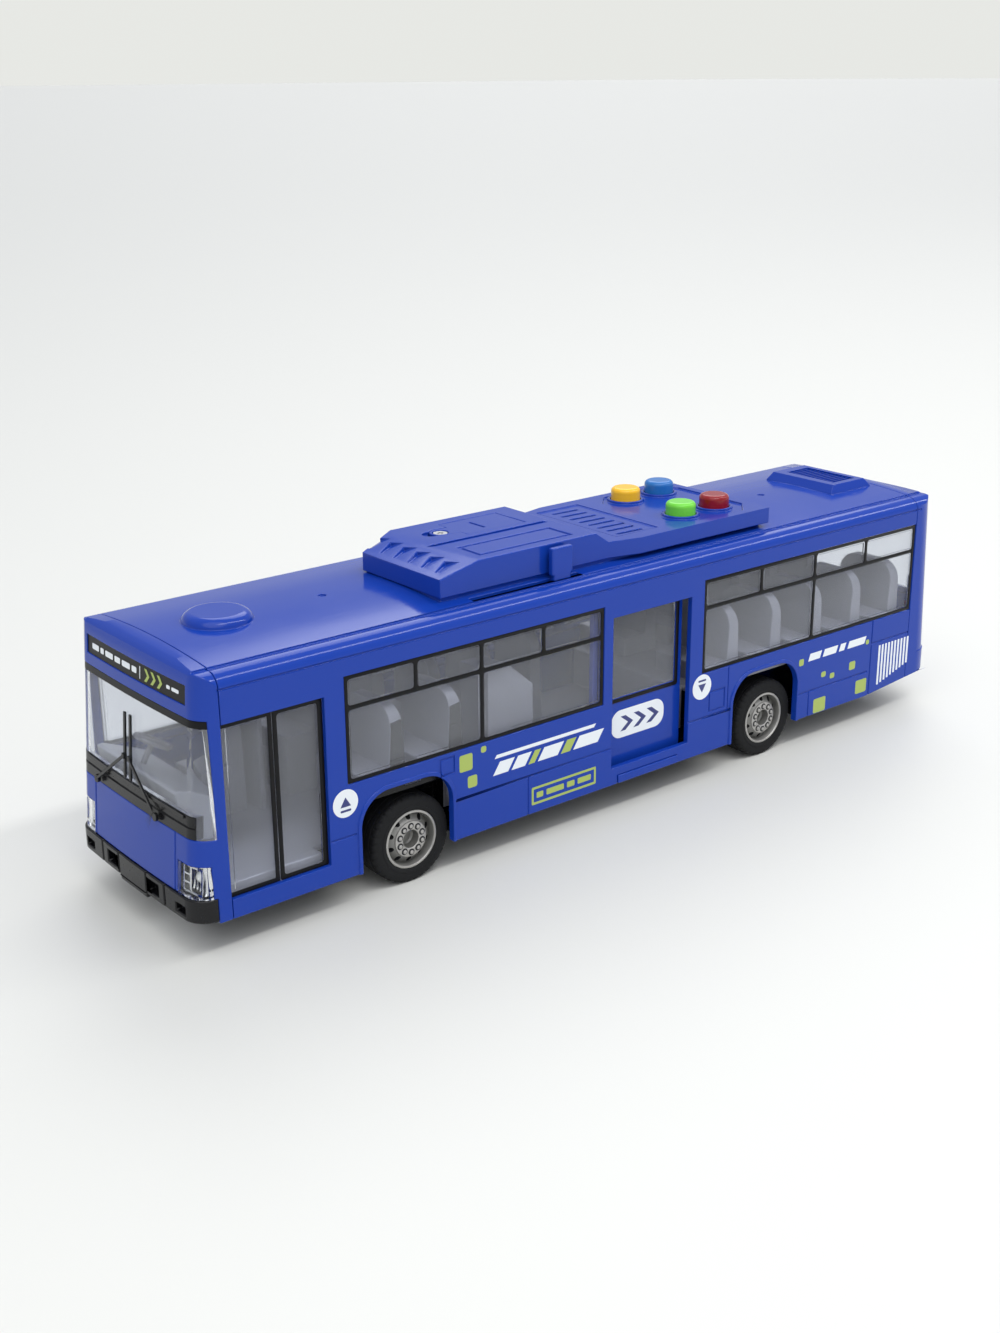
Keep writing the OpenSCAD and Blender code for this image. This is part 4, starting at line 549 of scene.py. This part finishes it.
def tyre_pair(name, node, axle_x, body):
    """Both tyres of an axle."""
    half = TYRE_W / 2
    groove_r, notch_depth, blocks = 11.9, 0.2, 36
    side_wall = [(half - 0.3, RIM_R), (half - 0.12, RIM_R + 0.25), (half, RIM_R + 0.7), (half, RIM_R + 1.1),
                 (half - 0.12, RIM_R + 1.25), (half - 0.1, RIM_R + 2.3), (half - 0.22, 11.3), (half - 0.45, 11.9),
                 (half - 0.8, 12.28), (half - 1.2, 12.38)]
    tread = [(half - 1.5, 12.39)]
    for middle in (2.25, 0.0, -2.25):
        tread += [(middle + 0.32, WHEEL_R), (middle + 0.24, groove_r)]
        tread += [(middle - 0.24, groove_r), (middle - 0.32, WHEEL_R)]
    tread += [(1.5 - half, 12.39)]
    outline = side_wall + tread + [(-t, r) for t, r in side_wall[::-1]]
    turns = [(k + part) / blocks for k in range(blocks) for part in (0.0, 0.64, 0.7, 0.94)]
    verts, faces = [], []
    for side in (1, -1):
        first = len(verts)
        for i, turn_part in enumerate(turns):
            angle = 2 * math.pi * turn_part
            notch = i % 4 >= 2
            for t, r in outline:
                if notch and 2.65 < abs(t) < 4.1 and r > 11.5:
                    r -= notch_depth
                verts.append(((axle_x + r * math.cos(angle)) * MM, side * (WHEEL_OUT - half + t) * MM,
                              (AXLE_Z + r * math.sin(angle)) * MM))
        n, m = len(turns), len(outline)
        for i in range(n):
            for j in range(m):
                a, b = first + i * m + j, first + i * m + (j + 1) % m
                c, d = first + (i + 1) % n * m + (j + 1) % m, first + (i + 1) % n * m + j
                faces.append((a, b, c, d) if side > 0 else (d, c, b, a))
    piece = add_piece(name, closed_mesh(name, verts, faces, 38), tyre_black, body)
    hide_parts(node)
    return piece


tyre_pair("front_tyre_pair", "front_tyres", FRONT_AXLE_X, "front_wheels")
tyre_pair("rear_tyre_pair", "rear_tyres", REAR_AXLE_X, "rear_wheels")

# Hubs and axles: silver painted plastic hubs with ten nuts and ten hand holes, pressed on plain steel axles.
# The dish and the centre cup take a darker silver as painted shade. The nuts stand in black rings, and the hand
# holes end in black pockets: both are painted shadow.
hub_silver = plastic("hub_silver", (0.44, 0.43, 0.41), 0.36, grain=2400.0, depth=0.08, edge_highlight=0.0, flow=0.03,
                     metallic=0.75)
# Painted shade: a darker silver for the dish ring and the centre cup.
hub_dish_shade = plastic("hub_dish_shade", (0.25, 0.247, 0.235), 0.45, grain=2400.0, depth=0.08, edge_highlight=0.0, flow=0.03,
                   metallic=0.75)
# Painted shadow: a black finish for the rings round the nuts and for the hand-hole pockets.
hub_painted_shadow = plastic("hub_painted_shadow", (0.006, 0.006, 0.007), 0.7, edge_highlight=0.0, shine=0.15)
HAND_HOLES, ARC = 10, 8
RING_OUT, RING_IN = (-2.6, 7.2), (-1.0, 5.05)
HOLE_AT, HOLE_OUT, HOLE_ACROSS, HOLE_DEPTH = 6.2, 0.82, 0.74, 1.6
HUB_FACE, NUT_AT, NUT_STEPS = -0.5, 3.75, 16
NUT_SHADOW_RING = [(-1.2, 0.95), (HUB_FACE + 0.03, 0.95)]
NUT = [(-0.9, 0.56), (-0.2, 0.56), (-0.04, 0.34)]


def hub_pair(name, node, axle_x, body):
    """Both hubs of an axle, from outlines of depth and radius: rim, dish with hand holes, nut disc and cup."""
    around = HAND_HOLES * ARC
    back = [(-7.0, 7.9), (-6.6, 8.25), (-0.6, 8.25), (-0.32, 8.15), (-0.2, 7.95), (-0.22, 7.6), (-0.5, 7.42),
            RING_OUT]
    front = [RING_IN, (-0.62, 4.98), (HUB_FACE, 4.8), (HUB_FACE, 2.75), (-0.65, 2.55), (-3.0, 2.35), (-3.4, 1.9)]
    ring_t, ring_r = RING_IN[0] - RING_OUT[0], RING_IN[1] - RING_OUT[1]
    shape = bmesh.new()
    painted_shadow_faces, painted_shade_faces = [], []
    for side in (1, -1):
        def point(t, r, angle, ahead=0.0, up=0.0):
            x = axle_x + r * math.cos(angle) + ahead
            z = AXLE_Z + r * math.sin(angle) + up
            return shape.verts.new((x * MM, side * (WHEEL_OUT + t) * MM, z * MM))

        def turned(outline, steps, ahead=0.0, up=0.0):
            angles = [2 * math.pi * k / steps for k in range(steps)]
            rings = [[point(t, r, angle, ahead, up) for angle in angles] for t, r in outline]
            made = []
            for low, high in zip(rings, rings[1:]):
                for k in range(steps):
                    m = (k + 1) % steps
                    made.append(shape.faces.new((low[k], low[m], high[m], high[k])))
            return rings, made

        back_rings, back_walls = turned(back, around)
        shape.faces.new(back_rings[0])
        front_rings, front_walls = turned(front, around)
        painted_shade_faces += back_walls[-around:] + front_walls[-2 * around:] + [shape.faces.new(front_rings[-1])]
        foot, crown = back_rings[-1], front_rings[0]
        spokes = []
        for s in range(HAND_HOLES):
            angle = 2 * math.pi * s / HAND_HOLES
            spokes.append([point(RING_OUT[0] + ring_t * m / 4, RING_OUT[1] + ring_r * m / 4, angle)
                           for m in (1, 2, 3)])
        for s in range(HAND_HOLES):
            ends = [(s * ARC + k) % around for k in range(ARC + 1)]
            loop = [foot[k] for k in ends] + spokes[(s + 1) % HAND_HOLES]
            loop += [crown[k] for k in ends[::-1]] + spokes[s][::-1]
            middle = 2 * math.pi * (s + 0.5) / HAND_HOLES
            mouth, floor = [], []
            for vert in loop:
                x, z = vert.co.x / MM - axle_x, vert.co.z / MM - AXLE_Z
                out = x * math.cos(middle) + z * math.sin(middle) - HOLE_AT
                across = z * math.cos(middle) - x * math.sin(middle)
                aim = math.atan2(out / 0.95, across / 2.0)
                r = HOLE_AT + HOLE_OUT * math.sin(aim)
                angle = middle + HOLE_ACROSS * math.cos(aim) / r
                t = RING_OUT[0] + ring_t * (r - RING_OUT[1]) / ring_r
                mouth.append(point(t, r, angle))
                floor.append(point(t - HOLE_DEPTH, r, angle))
            for k in range(len(loop)):
                m = (k + 1) % len(loop)
                painted_shade_faces.append(shape.faces.new((loop[k], loop[m], mouth[m], mouth[k])))
                painted_shadow_faces.append(shape.faces.new((mouth[k], mouth[m], floor[m], floor[k])))
            painted_shadow_faces.append(shape.faces.new(floor))
        for s in range(HAND_HOLES):
            angle = 2 * math.pi * (s + 0.5) / HAND_HOLES
            ahead, up = NUT_AT * math.cos(angle), NUT_AT * math.sin(angle)
            for outline, shadow_ring in ((NUT_SHADOW_RING, True), (NUT, False)):
                rings, walls = turned(outline, NUT_STEPS, ahead, up)
                caps = [shape.faces.new(rings[0]), shape.faces.new(rings[-1])]
                if shadow_ring:
                    painted_shadow_faces += walls + caps
    bmesh.ops.recalc_face_normals(shape, faces=shape.faces)
    shape.faces.index_update()
    # The hand-hole pockets and the nut rings take the black of painted shadow, and the dish and cup take the darker
    # silver of painted shade.
    shade_slots = [(face.index, 1) for face in painted_shadow_faces] + [(face.index, 2) for face in painted_shade_faces]
    mesh = bpy.data.meshes.new(name)
    shape.to_mesh(mesh)
    shape.free()
    shade(mesh, 35)
    piece = add_piece(name, mesh, hub_silver, body)
    mesh.materials.append(hub_painted_shadow)
    mesh.materials.append(hub_dish_shade)
    for index, shade_slot in shade_slots:
        mesh.polygons[index].material_index = shade_slot
    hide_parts(node)
    return piece


hub_pair("front_hub_pair", "front_hubs", FRONT_AXLE_X, "front_wheels")
hub_pair("rear_hub_pair", "rear_hubs", REAR_AXLE_X, "rear_wheels")
plain_steel = plastic("plain_steel", (0.56, 0.56, 0.57), 0.3, grain=3000.0, depth=0.05, edge_highlight=0.05, flow=0.05,
                      metallic=1.0)
finish(plain_steel, "front_axle", "rear_axle", "chassis_screws", "flywheel", "battery_screw", "button_cells",
       "pod_screws")

# Cabin: floor, wheel boxes, seats, partition and dashboard in light grey polystyrene, dropped in from below.
# The dashboard is a separate moulding behind the windscreen, with a small steering wheel on a raked column.
# Faces of the wheel boxes, and faces that look down below the top of the wheel boxes, take the black finish; they
# show in the arches.
cabin_grey = plastic("cabin_grey", (0.22, 0.22, 0.25), 0.4, grain=900.0, depth=0.06, edge_highlight=0.25, flow=0.04)
dash_grey = plastic("dash_grey", (0.42, 0.43, 0.47), 0.4, grain=900.0, depth=0.06, edge_highlight=0.12, flow=0.05)
cabin = moulded("interior", cabin_grey, 0.3)
WELL_START, WELL_END, WELL_INSIDE, WELL_TOP, CABIN_SIDE = 58.0, 98.5, 19.5, 31.0, 28.0
FACING = 0.7
shape = bmesh.new()
shape.from_mesh(cabin.data)
whole = shape.verts[:] + shape.edges[:] + shape.faces[:]
bmesh.ops.bisect_plane(shape, geom=whole, plane_co=(WELL_END * MM, 0, 0), plane_no=(1, 0, 0))
shape.to_mesh(cabin.data)
shape.free()
cabin.data.materials.append(trim_black)
for face in cabin.data.polygons:
    x, y, z = face.center / MM
    outer_edge = abs(y) > CABIN_SIDE and abs(face.normal.y) > FACING
    inner_wall = z < WELL_TOP and face.normal.z < FACING
    in_well = WELL_START < x < WELL_END and abs(y) > WELL_INSIDE and (outer_edge or inner_wall)
    if in_well or (face.normal.z < -FACING and z < WELL_TOP):
        face.material_index = 1
moulded("dashboard", dash_grey, 0.35)
finish(cabin_grey, "steering_wheel")

# Roof buttons: four glossy domed caps in yellow, blue, green and red, moulded in coloured plastic.
# They sit in holes of the pod and spring back on a rubber pad.
for node, slot, colour in (("button_yellow", "yellow", (0.92, 0.50, 0.015)),
                           ("button_blue", "light_blue", (0.015, 0.15, 0.46)),
                           ("button_green", "lime", (0.15, 0.62, 0.04)),
                           ("button_red", "red", (0.26, 0.004, 0.008))):
    cap = plastic("cap_" + slot, colour, 0.12, grain=500.0, depth=0.015, edge_highlight=0.03, flow=0.01, shine=0.4)
    finish(cap, node)

# Underside and works: black chassis, rails and motor housing, ivory nylon gears, and the pod's electronics.
# The chassis and the housing are satin black polystyrene, and the gears turn on steel pins.
for part, edge in (("chassis_plate", 0.25), ("motor_case", 0.2), ("motor_cover", 0.2),
                   ("electronics_tray", 0.2), ("door_rails", 0.12)):
    moulded(part, trim_black, edge)
finish(plastic("gear_ivory", (0.72, 0.66, 0.5), 0.45, depth=0.04), "axle_gear", "idler_gear")
finish(plastic("pad_rubber", (0.55, 0.55, 0.52), 0.7, grain=1800.0, depth=0.1), "button_pad")
finish(plastic("board_green", (0.03, 0.2, 0.07), 0.35, grain=1200.0, depth=0.05), "circuit_board")
finish(plastic("speaker_grey", (0.2, 0.2, 0.21), 0.4, metallic=0.8), "speaker")
finish(plastic("cone_black", (0.015, 0.015, 0.015), 0.85, grain=1500.0, depth=0.3), "speaker_cone")
finish(plastic("contact_brass", (0.62, 0.42, 0.14), 0.3, metallic=1.0), "cell_contacts")

# Stage: a pale table top in a softly lit room, with two broad lamps, a tube lamp and a camera.
# The camera stands where the photograph was taken from. Nothing here belongs to the part.
FAR = 40
floor_mesh = bpy.data.meshes.new("table_top")
floor_mesh.from_pydata([(-FAR, -FAR, 0), (FAR, -FAR, 0), (FAR, FAR, 0), (-FAR, FAR, 0)], [], [(0, 1, 2, 3)])
table_top = bpy.data.objects.new("table_top", floor_mesh)
bpy.context.scene.collection.objects.link(table_top)
table_white = bpy.data.materials.new("table_white")
table_white.use_nodes = True
table_white.node_tree.nodes["Principled BSDF"].inputs["Base Color"].default_value = (0.67, 0.67, 0.64, 1)
floor_mesh.materials.append(table_white)

world = bpy.data.worlds.new("soft_room")
bpy.context.scene.world = world
world.use_nodes = True
room = world.node_tree
view = room.nodes.new("ShaderNodeTexCoord")
height = room.nodes.new("ShaderNodeSeparateXYZ")
room.links.new(view.outputs["Generated"], height.inputs["Vector"])
walls = room.nodes.new("ShaderNodeValToRGB")
walls.color_ramp.elements[0].position = 0.07
walls.color_ramp.elements[0].color = (0.8, 0.81, 0.78, 1)
walls.color_ramp.elements[1].position = 1.0
walls.color_ramp.elements[1].color = (0.7, 0.72, 0.76, 1)
dim = walls.color_ramp.elements.new(0.22)
dim.color = (0.5, 0.52, 0.56, 1)
room.links.new(height.outputs["Z"], walls.inputs["Fac"])
room.links.new(walls.outputs["Color"], room.nodes["Background"].inputs["Color"])
for label, place, spread, strength in (("key", (0.5, 0.5, 1.0), 60, 1.1),
                                       ("back", (-0.75, -0.75, 1.0), 40, 0.85)):
    data = bpy.data.lights.new(label, "SUN")
    data.angle = math.radians(spread)
    data.energy = strength
    lamp = bpy.data.objects.new(label, data)
    lamp.rotation_euler = Vector(place).to_track_quat("Z", "Y").to_euler()
    bpy.context.scene.collection.objects.link(lamp)
data = bpy.data.lights.new("tube", "AREA")
data.shape = "RECTANGLE"
data.size, data.size_y = 2.4, 0.11
data.energy = 9.0
lamp = bpy.data.objects.new("tube", data)
lamp.location = (-0.85, 0.5, 0.95)
lamp.rotation_euler = (math.radians(-28), 0, 0)
bpy.context.scene.collection.objects.link(lamp)

camera_data = bpy.data.cameras.new("camera")
camera_data.sensor_fit = "HORIZONTAL"
camera_data.sensor_width = 36.0
camera_data.lens = 59.73
camera_data.clip_start = 0.01
camera = bpy.data.objects.new("camera", camera_data)
bpy.context.scene.collection.objects.link(camera)
CAMERA_AT, CAMERA_TURN = (0.3083, 0.3528, 0.2028), (-129.06, -19.66, 0.39)
yaw, pitch, roll = (math.radians(a) for a in CAMERA_TURN)
forward = Vector((math.cos(pitch) * math.cos(yaw), math.cos(pitch) * math.sin(yaw), math.sin(pitch)))
right = forward.cross(Vector((0, 0, 1))).normalized()
down = forward.cross(right)
right, down = (math.cos(roll) * right + math.sin(roll) * down,
               math.cos(roll) * down - math.sin(roll) * right)
turn = Matrix((right, -down, -forward)).transposed().to_4x4()
camera.matrix_world = Matrix.Translation(CAMERA_AT) @ turn
bpy.context.scene.camera = camera
bpy.context.scene.view_settings.view_transform = "Standard"
